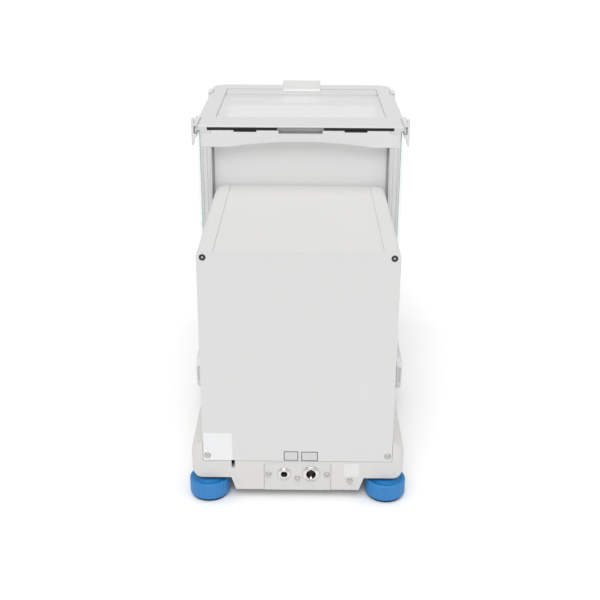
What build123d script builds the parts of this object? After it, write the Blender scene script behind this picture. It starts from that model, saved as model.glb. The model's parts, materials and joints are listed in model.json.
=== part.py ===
"""Laboratory analytical balance: weighing unit with a glass weighing chamber in front of its housing.

X runs to the right as the operator sees it, Y to the rear and Z up. The origin lies on the table,
under the middle of the footprint. All values are millimetres.
"""

from build123d import *
import os

os.makedirs("parts", exist_ok=True)

# ---------------------------------------------------------------- driving dimensions
housing_width = 200.0
housing_length = 240.0
housing_height = 235.5
seam_height = 45.0
cover_wall = 2.5
cover_edge_r = 5.0
cover_end_r = 16.0
panel_thickness = 2.5
panel_corner_r = 4.5

chamber_length = 270.0
chamber_overlap = 15.0
chamber_step = 10.5
frame_top = 354.0
frame_rim = 8.5
frame_corner_r = 20.0

shoulder_width = 12.5
shoulder_height = 22.3
shoulder_chamfer = 9.7
base_bottom = 9.0
base_floor = 5.0
base_wall = 8.0
base_edge = 1.5
base_corner_r = 7.0
chamber_base_corner_r = 3.0

foot_side_inset = 17.7
rear_foot_inset = 10.5
front_foot_inset = 26.0
wheel_r = 21.4
wheel_height = 18.6
pad_r = 19.0
pad_height = 2.2
stud_r = 4.0
wheel_lift = 0.2
skirt_gap = 4.0
skirt_round = 12.0
pocket_side_gap = 2.8
pocket_slope = 5.6
pocket_clearance = 5.0

glass = 3.0
glass_slide_gap = 0.4
glass_side_gap = 0.3
seam_gap = 0.4
running_gap = 0.06
part_gap = 0.3

pan_r = 45.0
pan_top = 96.0
pan_inset = 137.0

# ---------------------------------------------------------------- places worked out from them
chamber_setback = housing_length - chamber_overlap
total_length = chamber_setback + chamber_length
rear_y = (total_length - (wheel_r - rear_foot_inset)) / 2
housing_top = seam_height + housing_height
shoulder_top = seam_height + shoulder_height
half_housing = housing_width / 2
half_base = half_housing + shoulder_width
half_chamber = half_base + chamber_step
foot_x = half_base - foot_side_inset
pan_setback = chamber_setback + pan_inset
floor_top = base_bottom + base_floor
frame_low = frame_top - frame_rim
pan_y = rear_y - pan_setback
wheel_low = pad_height + wheel_lift
wheel_top = wheel_low + wheel_height
skirt_bottom = wheel_top + skirt_gap
foot_spots = {
    "rear_right": (foot_x, rear_y - rear_foot_inset),
    "rear_left": (-foot_x, rear_y - rear_foot_inset),
    "front_right": (foot_x, rear_y - total_length + front_foot_inset),
    "front_left": (-foot_x, rear_y - total_length + front_foot_inset),
}


def span(near, far):
    """Y limits of a stretch measured forwards from the rear face."""
    return (rear_y - far, rear_y - near)


def across(half):
    """X limits of a piece centred on the middle plane."""
    return (-half, half)


def beside(side, inner, outer):
    """X limits of a piece on the right side (1) or the left side (-1)."""
    return (inner, outer) if side > 0 else (-outer, -inner)


def block(x, y, z, mode=Mode.ADD):
    """A straight block between two limits on each axis, in the part being built."""
    with Locations(((x[0] + x[1]) / 2, (y[0] + y[1]) / 2, (z[0] + z[1]) / 2)):
        Box(x[1] - x[0], y[1] - y[0], z[1] - z[0], mode=mode)


def rod(x, y, z, radius, mode=Mode.ADD):
    """An upright cylinder between two heights, in the part being built."""
    with Locations((x, y, (z[0] + z[1]) / 2)):
        Cylinder(radius, z[1] - z[0], mode=mode)


def bolt(x, y, z, radius, mode=Mode.ADD):
    """A cylinder along Y between two limits, in the part being built."""
    with Locations((x, (y[0] + y[1]) / 2, z)):
        Cylinder(radius, y[1] - y[0], rotation=(90, 0, 0), mode=mode)


def save(piece, name):
    """Labels a finished piece and writes its STEP file."""
    piece.part.label = name
    export_step(piece.part, f"parts/{name}.step")


# ---------------------------------------------------------------- base casting
# A cast tray. Its rear half is as wide as the housing plus two shoulders, its front half
# carries the weighing chamber. The corners are cut up to clear the levelling wheels.
chamber_base_start = chamber_setback - 1.0
shoulder_in = half_housing + part_gap
inner_half = half_housing - 6.0
pocket_inner = foot_x - wheel_r - pocket_side_gap
pocket_in_low = pocket_inner - pocket_slope
pocket_length_rear = rear_foot_inset + wheel_r + pocket_clearance
pocket_length_front = front_foot_inset + wheel_r + pocket_clearance
pocket_roof = skirt_bottom + base_floor
front_wall = 15.0
deck = 3.0
tray_half = half_chamber - 23.0
tray_margin = 6.0
door_rim = 6.0
door_groove_gap = 0.2
door_groove_depth = 5.8
door_groove = (
    half_chamber - door_rim - door_groove_gap,
    half_chamber - door_rim + glass + part_gap,
)
door_groove_low = shoulder_top - door_groove_depth
post_front = chamber_setback + 19.4
front_post_length = 25.0
front_post_start = total_length - front_post_length
bush_r = 7.0
bush_top = seam_height - 1.0
boss_r = 10.0
hook_port_r = 9.0
cut = 1.0  # how far a cutting shape runs past the face that it opens

plate_half = 35.5
plate_recess = 2.5
plate_top = seam_height - 1.8
plate_corner_r = 4.0
jack_spot = (14.3, 29.3)
socket_spot = (-14.4, 29.5)
plate_screws = ((31.0, 28.2), (0.0, 23.5), (-31.0, 28.2))
plate_screw_r = 1.25
connector_opening_half = 26.0
connector_sill = 4.0
connector_head = 3.0
ground_spot = (-56.0, 21.3)
ground_screw_r = 2.0
thread_gap = 0.05
lock_x = (66.6, 70.3)
lock_z = (36.8, seam_height)
lock_notch = 1.2

with BuildPart() as base_casting:
    block(across(half_base), span(0, chamber_base_start + base_wall), (base_bottom, shoulder_top))
    chamfer(base_casting.edges().filter_by(Axis.Y).group_by(Axis.Z)[-1], shoulder_chamfer)
    fillet(base_casting.edges().filter_by(Axis.Z).group_by(Axis.Y)[-1], base_corner_r)
    with BuildSketch(Plane.XY.offset(base_bottom)) as chamber_plan:
        with Locations((0, rear_y - (chamber_base_start + total_length) / 2)):
            Rectangle(2 * half_chamber, total_length - chamber_base_start)
        fillet(chamber_plan.vertices().group_by(Axis.Y)[0], frame_corner_r)
        fillet(chamber_plan.vertices().group_by(Axis.Y)[-1], chamber_base_corner_r)
    extrude(amount=shoulder_top - base_bottom)
    chamfer(base_casting.edges().group_by(Axis.Z)[0].filter_by(GeomType.LINE), base_edge)
    for half_width, start_y, length in (
        (half_base, rear_y + cut, pocket_length_rear + cut),
        (half_chamber, rear_y - total_length + pocket_length_front, pocket_length_front + cut),
    ):
        with BuildSketch(Plane.XZ.offset(-start_y)) as pocket:
            with BuildLine():
                Line((pocket_inner, skirt_bottom), (half_width - skirt_round, skirt_bottom))
                RadiusArc(
                    (half_width - skirt_round, skirt_bottom),
                    (half_width, skirt_bottom + skirt_round),
                    -skirt_round,
                )
                Polyline(
                    (half_width, skirt_bottom + skirt_round),
                    (half_width + cut, skirt_bottom + skirt_round),
                    (half_width + cut, base_bottom - cut),
                    (pocket_in_low, base_bottom - cut),
                    (pocket_inner, skirt_bottom),
                )
            make_face()
            mirror(about=Plane.YZ)
        extrude(amount=length, mode=Mode.SUBTRACT)
    # Seat for the housing between the two shoulders.
    block(
        across(shoulder_in),
        span(-cut, housing_length + part_gap),
        (seam_height, shoulder_top + cut),
        Mode.SUBTRACT,
    )
    # The hollow of the tray, kept above the roofs of the four wheel pockets.
    block(
        across(pocket_in_low - base_floor),
        span(base_wall, total_length - front_wall),
        (floor_top, shoulder_top - deck),
        Mode.SUBTRACT,
    )
    block(
        across(inner_half),
        span(pocket_length_rear + base_floor, total_length - pocket_length_front - base_floor),
        (floor_top, shoulder_top - deck),
        Mode.SUBTRACT,
    )
    for near, far in (
        (base_wall, pocket_length_rear + base_floor + cut),
        (total_length - pocket_length_front - base_floor - cut, total_length - front_wall),
    ):
        block(across(inner_half), span(near, far), (pocket_roof, shoulder_top - deck), Mode.SUBTRACT)
    block(
        across(tray_half),
        span(post_front + tray_margin, front_post_start - tray_margin),
        (shoulder_top - deck - cut, shoulder_top + cut),
        Mode.SUBTRACT,
    )
    # Bosses that carry the threaded bushes of the levelling feet.
    for foot_spot_x, foot_spot_y in foot_spots.values():
        rod(foot_spot_x, foot_spot_y, (skirt_bottom, bush_top), boss_r)
        rod(foot_spot_x, foot_spot_y, (skirt_bottom - cut, bush_top + cut), bush_r, Mode.SUBTRACT)
    # Grooves for the lower edges of the side doors, open to the rear.
    for side in (-1, 1):
        block(
            beside(side, *door_groove),
            span(chamber_base_start - cut, front_post_start + part_gap),
            (door_groove_low, shoulder_top + cut),
            Mode.SUBTRACT,
        )
    # Recess and opening for the connector plate, and the security slot.
    with BuildSketch(Plane.XZ.offset(-rear_y - cut)) as recess:
        with BuildLine():
            FilletPolyline(
                (-plate_half - part_gap, base_bottom - cut),
                (-plate_half - part_gap, plate_top + part_gap),
                (plate_half + part_gap, plate_top + part_gap),
                (plate_half + part_gap, base_bottom - cut),
                radius=plate_corner_r,
            )
            Line((plate_half + part_gap, base_bottom - cut), (-plate_half - part_gap, base_bottom - cut))
        make_face()
    extrude(amount=plate_recess + cut, mode=Mode.SUBTRACT)
    block(
        across(connector_opening_half),
        span(0, base_wall + cut),
        (floor_top + connector_sill, plate_top - connector_head),
        Mode.SUBTRACT,
    )
    for screw_x, screw_z in plate_screws:
        bolt(screw_x, span(0, base_wall - cut), screw_z, plate_screw_r + thread_gap, Mode.SUBTRACT)
    bolt(
        ground_spot[0],
        span(-cut, base_wall - cut),
        ground_spot[1],
        ground_screw_r + thread_gap,
        Mode.SUBTRACT,
    )
    block(lock_x, span(-cut, base_wall + cut), (lock_z[0], lock_z[1] + cut), Mode.SUBTRACT)
    # Port under the pan for weighing below the balance.
    rod(0, pan_y, (base_bottom - cut, floor_top + cut), hook_port_r, Mode.SUBTRACT)
save(base_casting, "base_casting")

plug_flange = 1.2
plug_flange_r = 11.5
plug_wall = 1.75
plug_floor = 1.0
with BuildPart() as hook_port_plug:
    rod(0, pan_y, (base_bottom - plug_flange, base_bottom), plug_flange_r)
    rod(0, pan_y, (base_bottom, floor_top + cut), hook_port_r - thread_gap)
    rod(
        0,
        pan_y,
        (base_bottom + plug_floor, floor_top + 2 * cut),
        hook_port_r - thread_gap - plug_wall,
        Mode.SUBTRACT,
    )
save(hook_port_plug, "hook_port_plug")

with BuildPart() as foot_bushes:
    for foot_spot_x, foot_spot_y in foot_spots.values():
        rod(foot_spot_x, foot_spot_y, (skirt_bottom, bush_top), bush_r)
        rod(
            foot_spot_x,
            foot_spot_y,
            (skirt_bottom - cut, bush_top + cut),
            stud_r + running_gap,
            Mode.SUBTRACT,
        )
save(foot_bushes, "foot_bushes")

# ---------------------------------------------------------------- levelling feet
# A ribbed hand wheel moulded on a steel stud turns in the bush; the rubber pad clipped
# under it stays still on the table.
rib_count = 40
rib_r = 1.1
rib_depth = 0.45
stem_r = 6.0
stem_height = 4.0
stem_end_gap = 0.4
stud_top = bush_top - 4.0
stud_chamfer = 0.8
wheel_edge = 2.2
wheel_top_edge = 1.2
pad_edge = 1.2
rib_margin = 2.5
rib_rise = 0.5


def levelling_foot(name, x, y):
    """Wheel with its moulded-in stud, and the pad, of one levelling foot."""
    with BuildPart() as wheel:
        rod(x, y, (wheel_low, wheel_top), wheel_r)
        rims = wheel.edges().filter_by(GeomType.CIRCLE)
        fillet(rims.sort_by(Axis.Z)[0], wheel_edge)
        fillet(wheel.edges().filter_by(GeomType.CIRCLE).sort_by(Axis.Z)[-1], wheel_top_edge)
        with Locations((x, y, (wheel_low + wheel_top) / 2 + rib_rise)):
            with PolarLocations(wheel_r + rib_r - rib_depth, rib_count):
                Cylinder(rib_r, wheel_height - 2 * rib_margin, mode=Mode.SUBTRACT)
        rod(
            x,
            y,
            (wheel_low - cut, wheel_low + stem_height + stem_end_gap),
            stem_r + running_gap,
            Mode.SUBTRACT,
        )
        rod(x, y, (wheel_top, stud_top), stud_r)
        chamfer(wheel.edges().sort_by(Axis.Z)[-1], stud_chamfer)
    save(wheel, f"{name}_foot_wheel")
    with BuildPart() as pad:
        rod(x, y, (0, pad_height), pad_r)
        fillet(pad.edges().sort_by(Axis.Z)[0], pad_edge)
        rod(x, y, (pad_height, pad_height + stem_height), stem_r)
    save(pad, f"{name}_foot_pad")


for foot_name, (foot_spot_x, foot_spot_y) in foot_spots.items():
    levelling_foot(foot_name, foot_spot_x, foot_spot_y)

# ---------------------------------------------------------------- housing
# The cover is a cast aluminium hood with two raised rails along its top, closed by a flat rear panel.
rail_width = 17.3
rail_x = half_housing - rail_width
rail_groove = 2.0
rail_groove_depth = 1.2
top_panel_drop = 0.6
panel_fit = 0.1
panel_screw_spots = ((half_housing - 6.4, housing_top - 5.9), (half_housing - 4.7, seam_height + 7.0))
panel_screw_r = 1.5
screw_head_r = 3.1
screw_head_gap = 0.3
screw_head_depth = 1.2
screw_boss = 4.5
screw_boss_depth = 14.0
boss_roof = housing_top - rail_groove_depth - part_gap

with BuildPart() as housing_cover:
    block(
        across(half_housing),
        span(panel_thickness + panel_fit, housing_length),
        (seam_height, housing_top),
    )
    fillet(housing_cover.edges().filter_by(Axis.Z).group_by(Axis.Y)[0], cover_end_r)
    fillet(housing_cover.edges().group_by(Axis.Z)[-1].filter_by(Axis.Y), cover_edge_r)
    with BuildSketch(Plane.XY.offset(seam_height - cut)) as inside:
        with Locations((0, rear_y - (housing_length - cover_wall) / 2)):
            Rectangle(housing_width - 2 * cover_wall, housing_length - cover_wall)
        fillet(inside.vertices().group_by(Axis.Y)[0], cover_end_r - cover_wall)
    extrude(amount=housing_height - cover_wall + cut, mode=Mode.SUBTRACT)
    for side in (-1, 1):
        block(
            beside(side, rail_x - rail_groove / 2, rail_x + rail_groove / 2),
            span(0, housing_length + cut),
            (housing_top - rail_groove_depth, housing_top + cut),
            Mode.SUBTRACT,
        )
    block(
        across(rail_x - rail_groove / 2),
        span(0, housing_length + cut),
        (housing_top - top_panel_drop, housing_top + cut),
        Mode.SUBTRACT,
    )
    for screw_x, screw_z in panel_screw_spots:
        for side in (-1, 1):
            block(
                beside(side, screw_x - screw_boss, half_housing - cut),
                span(panel_thickness + panel_fit, screw_boss_depth),
                (screw_z - screw_boss, min(screw_z + screw_boss, boss_roof)),
            )
            bolt(
                side * screw_x,
                span(0, screw_boss_depth - 2 * cut),
                screw_z,
                panel_screw_r + thread_gap,
                Mode.SUBTRACT,
            )
save(housing_cover, "housing_cover")

with BuildPart() as rear_panel:
    with BuildSketch(Plane.XZ.offset(-rear_y)) as panel_face:
        with Locations((0, (seam_height + seam_gap + housing_top) / 2)):
            Rectangle(housing_width, housing_height - seam_gap)
        fillet(panel_face.vertices().group_by(Axis.Y)[-1], panel_corner_r)
    extrude(amount=panel_thickness)
    for screw_x, screw_z in panel_screw_spots:
        for side in (-1, 1):
            bolt(
                side * screw_x,
                span(-cut, panel_thickness + cut),
                screw_z,
                panel_screw_r + 4 * thread_gap,
                Mode.SUBTRACT,
            )
            bolt(
                side * screw_x,
                span(-cut, screw_head_depth),
                screw_z,
                screw_head_r + screw_head_gap,
                Mode.SUBTRACT,
            )
    block(lock_x, span(-cut, panel_thickness + cut), (seam_height, seam_height + lock_notch), Mode.SUBTRACT)
save(rear_panel, "rear_panel")

screw_head_proud = 0.5
hex_socket_r = 1.15
hex_socket_depth = 1.3
with BuildPart() as rear_panel_screws:
    for screw_x, screw_z in panel_screw_spots:
        for side in (-1, 1):
            bolt(side * screw_x, span(-screw_head_proud, screw_head_depth), screw_z, screw_head_r)
            bolt(
                side * screw_x,
                span(screw_head_depth, screw_boss_depth - 3 * cut),
                screw_z,
                panel_screw_r,
            )
            with BuildSketch(Plane.XZ.offset(-rear_y - screw_head_proud)) as hex_socket:
                with Locations((side * screw_x, screw_z)):
                    RegularPolygon(hex_socket_r, 6)
            extrude(hex_socket.sketch, amount=hex_socket_depth, mode=Mode.SUBTRACT)
save(rear_panel_screws, "rear_panel_screws")

# Labels are thin self-adhesive foils with nothing printed on them.
foil = 0.25
foil_corner_r = 1.5
foil_head_gap = 0.1
rating_label_x = (half_housing - 31.1, half_housing - 0.8)
rating_label_z = (seam_height + 1.2, seam_height + 33.8)
socket_label_height = 11.8
socket_label_spots = (((-1.0, 14.9), seam_height + 1.0), ((-21.7, -3.6), seam_height + 0.6))
seal_x = (-65.7, -49.3)
seal_z = (26.6, 42.4)
with BuildPart() as rating_label:
    block(rating_label_x, span(-foil, 0), rating_label_z)
    fillet(rating_label.edges().filter_by(Axis.Y), foil_corner_r)
    bolt(
        panel_screw_spots[1][0],
        span(-cut, cut),
        panel_screw_spots[1][1],
        screw_head_r + screw_head_gap + foil_head_gap,
        Mode.SUBTRACT,
    )
save(rating_label, "rating_label")

with BuildPart() as socket_labels:
    for label_x, label_z in socket_label_spots:
        block(label_x, span(-foil, 0), (label_z, label_z + socket_label_height))
save(socket_labels, "socket_labels")

with BuildPart() as seal_sticker:
    block(seal_x, span(-foil, 0), seal_z)
    fillet(seal_sticker.edges().filter_by(Axis.Y), foil_corner_r)
save(seal_sticker, "seal_sticker")

# ---------------------------------------------------------------- connectors
plate_thickness = 1.8
plate_back = plate_recess
plate_front = plate_back - plate_thickness
jack_ring_r = 7.1
jack_body_r = 5.6
jack_bore_r = 3.45
socket_ring_r = 9.1
socket_body_r = 7.6
socket_bore_r = 5.1
connector_depth = 15.0
connector_back_wall = 2.0
plate_side_gap = 0.2
screw_clearance = 0.35
ring_edge = 0.8
jack_ring_proud = 1.6
jack_pin_r = 1.0
jack_pin_setback = 3.0

with BuildPart() as connector_plate:
    with BuildSketch(Plane.XZ.offset(-rear_y + plate_front)):
        with BuildLine():
            FilletPolyline(
                (-plate_half, base_bottom + plate_side_gap),
                (-plate_half, plate_top),
                (plate_half, plate_top),
                (plate_half, base_bottom + plate_side_gap),
                radius=plate_corner_r,
            )
            Line((plate_half, base_bottom + plate_side_gap), (-plate_half, base_bottom + plate_side_gap))
        make_face()
    extrude(amount=plate_thickness)
    through = span(-cut, plate_back + cut)
    bolt(jack_spot[0], through, jack_spot[1], jack_body_r, Mode.SUBTRACT)
    bolt(socket_spot[0], through, socket_spot[1], socket_body_r, Mode.SUBTRACT)
    for screw_x, screw_z in plate_screws:
        bolt(screw_x, through, screw_z, plate_screw_r + screw_clearance, Mode.SUBTRACT)
save(connector_plate, "connector_plate")

cross_half_length = 2.4
cross_half_width = 0.35
plate_screw_head = 1.7
plate_screw_head_r = 3.15
cross_depth = 0.7
screw_end_gap = 1.5
with BuildPart() as connector_plate_screws:
    for screw_x, screw_z in plate_screws:
        bolt(screw_x, span(plate_front - plate_screw_head, plate_front), screw_z, plate_screw_head_r)
        bolt(screw_x, span(plate_front, base_wall - screw_end_gap), screw_z, plate_screw_r)
        for half_x, half_z in (
            (cross_half_length, cross_half_width),
            (cross_half_width, cross_half_length),
        ):
            block(
                (screw_x - half_x, screw_x + half_x),
                span(plate_front - plate_screw_head - cut, plate_front - plate_screw_head + cross_depth),
                (screw_z - half_z, screw_z + half_z),
                Mode.SUBTRACT,
            )
save(connector_plate_screws, "connector_plate_screws")

with BuildPart() as power_jack:
    bolt(jack_spot[0], span(plate_front - jack_ring_proud, plate_front), jack_spot[1], jack_ring_r)
    fillet(power_jack.edges().group_by(Axis.Y)[-1], ring_edge)
    bolt(jack_spot[0], span(plate_front, connector_depth), jack_spot[1], jack_body_r - thread_gap)
    bolt(
        jack_spot[0],
        span(-jack_ring_proud - cut, connector_depth - connector_back_wall),
        jack_spot[1],
        jack_bore_r,
        Mode.SUBTRACT,
    )
    bolt(
        jack_spot[0],
        span(jack_pin_setback, connector_depth - connector_back_wall),
        jack_spot[1],
        jack_pin_r,
    )
save(power_jack, "power_jack")

socket_ring_proud = 1.8
key_half = 1.3
key_depth = 1.2
key_inner = 4.0
with BuildPart() as display_socket:
    bolt(socket_spot[0], span(plate_front - socket_ring_proud, plate_front), socket_spot[1], socket_ring_r)
    fillet(display_socket.edges().group_by(Axis.Y)[-1], ring_edge)
    bolt(socket_spot[0], span(plate_front, connector_depth), socket_spot[1], socket_body_r - thread_gap)
    bolt(
        socket_spot[0],
        span(-socket_ring_proud - cut, connector_depth - connector_back_wall),
        socket_spot[1],
        socket_bore_r,
        Mode.SUBTRACT,
    )
    for key_low, key_high in ((key_inner, socket_ring_r + cut), (-socket_ring_r - cut, -key_inner)):
        block(
            (socket_spot[0] - key_half, socket_spot[0] + key_half),
            span(-socket_ring_proud - cut, key_depth),
            (socket_spot[1] + key_low, socket_spot[1] + key_high),
            Mode.SUBTRACT,
        )
save(display_socket, "display_socket")

socket_insert_front = 6.5
pin_circle_r = 3.1
pin_count = 7
pin_r = 0.5
pin_length = 1.4
with BuildPart() as display_socket_insert:
    bolt(
        socket_spot[0],
        span(socket_insert_front, connector_depth - connector_back_wall),
        socket_spot[1],
        socket_bore_r - thread_gap,
    )
    with BuildSketch(Plane.XZ.offset(-rear_y + socket_insert_front)) as pin_pattern:
        with Locations(socket_spot):
            with PolarLocations(pin_circle_r, pin_count):
                Circle(pin_r)
            Circle(pin_r)
    extrude(amount=-pin_length)
save(display_socket_insert, "display_socket_insert")

ground_head = 2.2
ground_head_edge = 1.0
ground_slot_half = 0.4
with BuildPart() as ground_screw:
    bolt(ground_spot[0], span(-ground_head, 0), ground_spot[1], screw_head_r)
    fillet(ground_screw.edges().group_by(Axis.Y)[-1], ground_head_edge)
    bolt(ground_spot[0], span(0, base_wall - screw_end_gap), ground_spot[1], ground_screw_r)
    block(
        (ground_spot[0] - ground_slot_half, ground_spot[0] + ground_slot_half),
        span(-ground_head - cut, -ground_head / 2),
        (ground_spot[1] - screw_head_r - cut, ground_spot[1] + screw_head_r + cut),
        Mode.SUBTRACT,
    )
save(ground_screw, "ground_screw")


# ---------------------------------------------------------------- weighing chamber, fixed frame
post_outer = half_chamber - 6.5
post_inner = post_outer - 12.3
post_step = post_outer - 10.5
post_lip = 1.0
post_line_width = 1.0
post_line_depth = 0.8
post_line_insets = (8.3, 3.3)
front_post_corner_r = 17.0
beam_low = frame_low - 16.2
rear_wall_half = post_inner - 2.2
rear_wall_gap = 0.5
rear_wall_start = housing_length + rear_wall_gap
rear_wall_thickness = 4.0
wall_flange = 2.0
wall_flange_lap = 5.0
wall_fit = 0.1
window_half = half_chamber - 20.5
window_corner_r = 4.0
window = (chamber_setback + 50.0, total_length - 33.0)
channel_half = half_chamber - 14.5
channel_roof = 1.6
channel_top = frame_top - channel_roof
channel_low = channel_top - glass - 2 * glass_slide_gap
shelf_in = window_half + 2.0
lintel_end = housing_length - part_gap
lintel_edge = 1.0
arch_half = half_chamber - 39.0
arch_rise = 6.4
catch_slot_inner = 51.0
catch_slot_outer = 77.5
catch_slot_depth = 6.0
catch_slot_drop = 1.6
tab_slot_half = 25.5
tab_slot_depth = 9.0
tab_slot_drop = 3.7
pane_inset = 9.0
pane_start = total_length - pane_inset
pane_gap = 0.5
pane_reach = half_chamber - 15.5
pane_bite = 3.0

for side, side_name in ((1, "right"), (-1, "left")):
    with BuildPart() as rear_post:
        block(
            beside(side, post_inner, post_outer),
            span(chamber_setback + post_lip, post_front),
            (shoulder_top, beam_low),
        )
        block(
            beside(side, post_step, post_outer),
            span(chamber_setback, chamber_setback + post_lip),
            (shoulder_top, beam_low),
        )
        for line_inset in post_line_insets:
            block(
                beside(side, post_outer - line_inset, post_outer - line_inset + post_line_width),
                span(chamber_setback - cut, chamber_setback + post_line_depth),
                (shoulder_top - cut, beam_low + cut),
                Mode.SUBTRACT,
            )
    save(rear_post, f"{side_name}_rear_post")
    with BuildPart() as front_post:
        with BuildSketch(Plane.XY.offset(shoulder_top)) as post_plan:
            low_x, high_x = beside(side, post_inner, half_chamber)
            with Locations(((low_x + high_x) / 2, rear_y - total_length + front_post_length / 2)):
                Rectangle(high_x - low_x, front_post_length)
            outer_corner = post_plan.vertices().group_by(Axis.Y)[0].sort_by(Axis.X)[(side + 1) // 2 * -1]
            fillet(outer_corner, front_post_corner_r)
        extrude(amount=beam_low - shoulder_top)
        block(
            beside(side, post_inner - cut, pane_reach + part_gap),
            span(pane_start - pane_gap, pane_start + glass + pane_gap),
            (shoulder_top - cut, beam_low + cut),
            Mode.SUBTRACT,
        )
    save(front_post, f"{side_name}_front_post")

with BuildPart() as chamber_rear_wall:
    block(
        across(rear_wall_half),
        span(rear_wall_start, rear_wall_start + rear_wall_thickness),
        (shoulder_top, frame_low - part_gap),
    )
    block(
        across(post_inner + wall_flange_lap),
        span(post_front + wall_fit, post_front + wall_fit + wall_flange),
        (shoulder_top, frame_low - part_gap),
    )
    for side in (-1, 1):
        block(
            beside(side, post_step - part_gap, post_outer),
            span(post_front, post_front + wall_flange + 2 * cut),
            (beam_low - part_gap, frame_low),
            Mode.SUBTRACT,
        )
save(chamber_rear_wall, "chamber_rear_wall")

with BuildPart() as rear_lintel:
    block(across(post_outer), span(chamber_setback, lintel_end), (beam_low, frame_low - wall_fit))
    block(across(shelf_in - part_gap), span(chamber_setback, lintel_end), (frame_low - wall_fit, channel_low))
    with BuildSketch(Plane.XZ.offset(-rear_y + chamber_setback - cut)) as arch:
        with BuildLine():
            ThreePointArc((-arch_half, beam_low), (0, beam_low + arch_rise), (arch_half, beam_low))
            Polyline(
                (arch_half, beam_low),
                (arch_half, beam_low - cut),
                (-arch_half, beam_low - cut),
                (-arch_half, beam_low),
            )
        make_face()
    extrude(amount=lintel_end - chamber_setback + 2 * cut, mode=Mode.SUBTRACT)
    fillet(rear_lintel.edges().filter_by(Axis.X).group_by(Axis.Z)[-1].sort_by(Axis.Y)[-1], lintel_edge)
    for side in (-1, 1):
        block(
            beside(side, catch_slot_inner, catch_slot_outer),
            span(chamber_setback - cut, chamber_setback + catch_slot_depth),
            (channel_low - catch_slot_drop, channel_low + cut),
            Mode.SUBTRACT,
        )
    block(
        across(tab_slot_half),
        span(chamber_setback - cut, chamber_setback + tab_slot_depth),
        (channel_low - tab_slot_drop, channel_low + cut),
        Mode.SUBTRACT,
    )
save(rear_lintel, "rear_lintel")

frame_rear_corner_r = 1.5
frame_edge = 1.0
groove_bite = 3.2
window_lip = 1.5
with BuildPart() as top_frame:
    with BuildSketch(Plane.XY.offset(frame_low)) as frame_plan:
        with Locations((0, rear_y - (chamber_setback + total_length) / 2)):
            Rectangle(2 * half_chamber, chamber_length)
        fillet(frame_plan.vertices().group_by(Axis.Y)[0], frame_corner_r)
        fillet(frame_plan.vertices().group_by(Axis.Y)[-1], frame_rear_corner_r)
    extrude(amount=frame_rim)
    fillet(top_frame.edges().group_by(Axis.Z)[-1], frame_edge)
    with BuildSketch(Plane.XY.offset(beam_low)) as beam_plan:
        with Locations((0, rear_y - total_length + front_post_length / 2)):
            Rectangle(2 * half_chamber, front_post_length)
        fillet(beam_plan.vertices().group_by(Axis.Y)[0], frame_corner_r)
    extrude(amount=frame_low - beam_low)
    for side in (-1, 1):
        block(
            beside(side, post_step, post_outer),
            span(lintel_end + wall_fit, front_post_start),
            (beam_low, frame_low),
        )
    with BuildSketch(Plane.XY.offset(frame_low - cut)) as window_plan:
        with Locations((0, rear_y - (window[0] + window[1]) / 2)):
            RectangleRounded(2 * window_half, window[1] - window[0], window_corner_r)
    extrude(amount=frame_rim + 2 * cut, mode=Mode.SUBTRACT)
    block(
        across(channel_half),
        span(chamber_setback - cut, window[1] + window_lip),
        (channel_low, channel_top),
        Mode.SUBTRACT,
    )
    block(
        across(shelf_in),
        span(chamber_setback - cut, window[1]),
        (frame_low - cut, channel_low + cut),
        Mode.SUBTRACT,
    )
    for side in (-1, 1):
        block(
            beside(side, *door_groove),
            span(chamber_setback - cut, front_post_start + part_gap),
            (frame_low - cut, frame_low + groove_bite),
            Mode.SUBTRACT,
        )
    block(
        across(pane_reach + part_gap),
        span(pane_start - pane_gap, pane_start + glass + pane_gap),
        (beam_low - cut, beam_low + groove_bite),
        Mode.SUBTRACT,
    )
save(top_frame, "top_frame")

glass_bottom_gap = 0.2
with BuildPart() as front_pane:
    block(
        across(pane_reach),
        span(pane_start, pane_start + glass),
        (shoulder_top + glass_bottom_gap, beam_low + pane_bite),
    )
save(front_pane, "front_pane")

tray_thickness = 1.5
tray_lap = 3.0
tray_rear_gap = 2.6
tray_corner_r = 5.0
post_hole_r = 8.0
with BuildPart() as chamber_floor:
    block(
        across(tray_half + tray_lap),
        span(post_front + tray_rear_gap, front_post_start - pane_gap),
        (shoulder_top, shoulder_top + tray_thickness),
    )
    fillet(chamber_floor.edges().filter_by(Axis.Z), tray_corner_r)
    rod(0, pan_y, (shoulder_top - cut, shoulder_top + tray_thickness + cut), post_hole_r, Mode.SUBTRACT)
save(chamber_floor, "chamber_floor")

floor_level = shoulder_top + tray_thickness
ring_r = pan_r + 9.0
ring_height = 14.0
ring_wall = 1.4
ring_sheet = 1.2
ring_lap = 5.0
ring_edge_r = 0.5
with BuildPart() as draft_ring:
    rod(0, pan_y, (floor_level, floor_level + ring_height), ring_r)
    rod(0, pan_y, (floor_level - cut, floor_level + ring_height + cut), ring_r - ring_wall, Mode.SUBTRACT)
    rod(0, pan_y, (floor_level, floor_level + ring_sheet), ring_r - ring_wall / 2)
    rod(0, pan_y, (floor_level - cut, floor_level + ring_sheet + cut), pan_r - ring_lap, Mode.SUBTRACT)
    fillet(draft_ring.edges().filter_by(GeomType.CIRCLE).group_by(Axis.Z)[-1], ring_edge_r)
save(draft_ring, "draft_ring")

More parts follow.
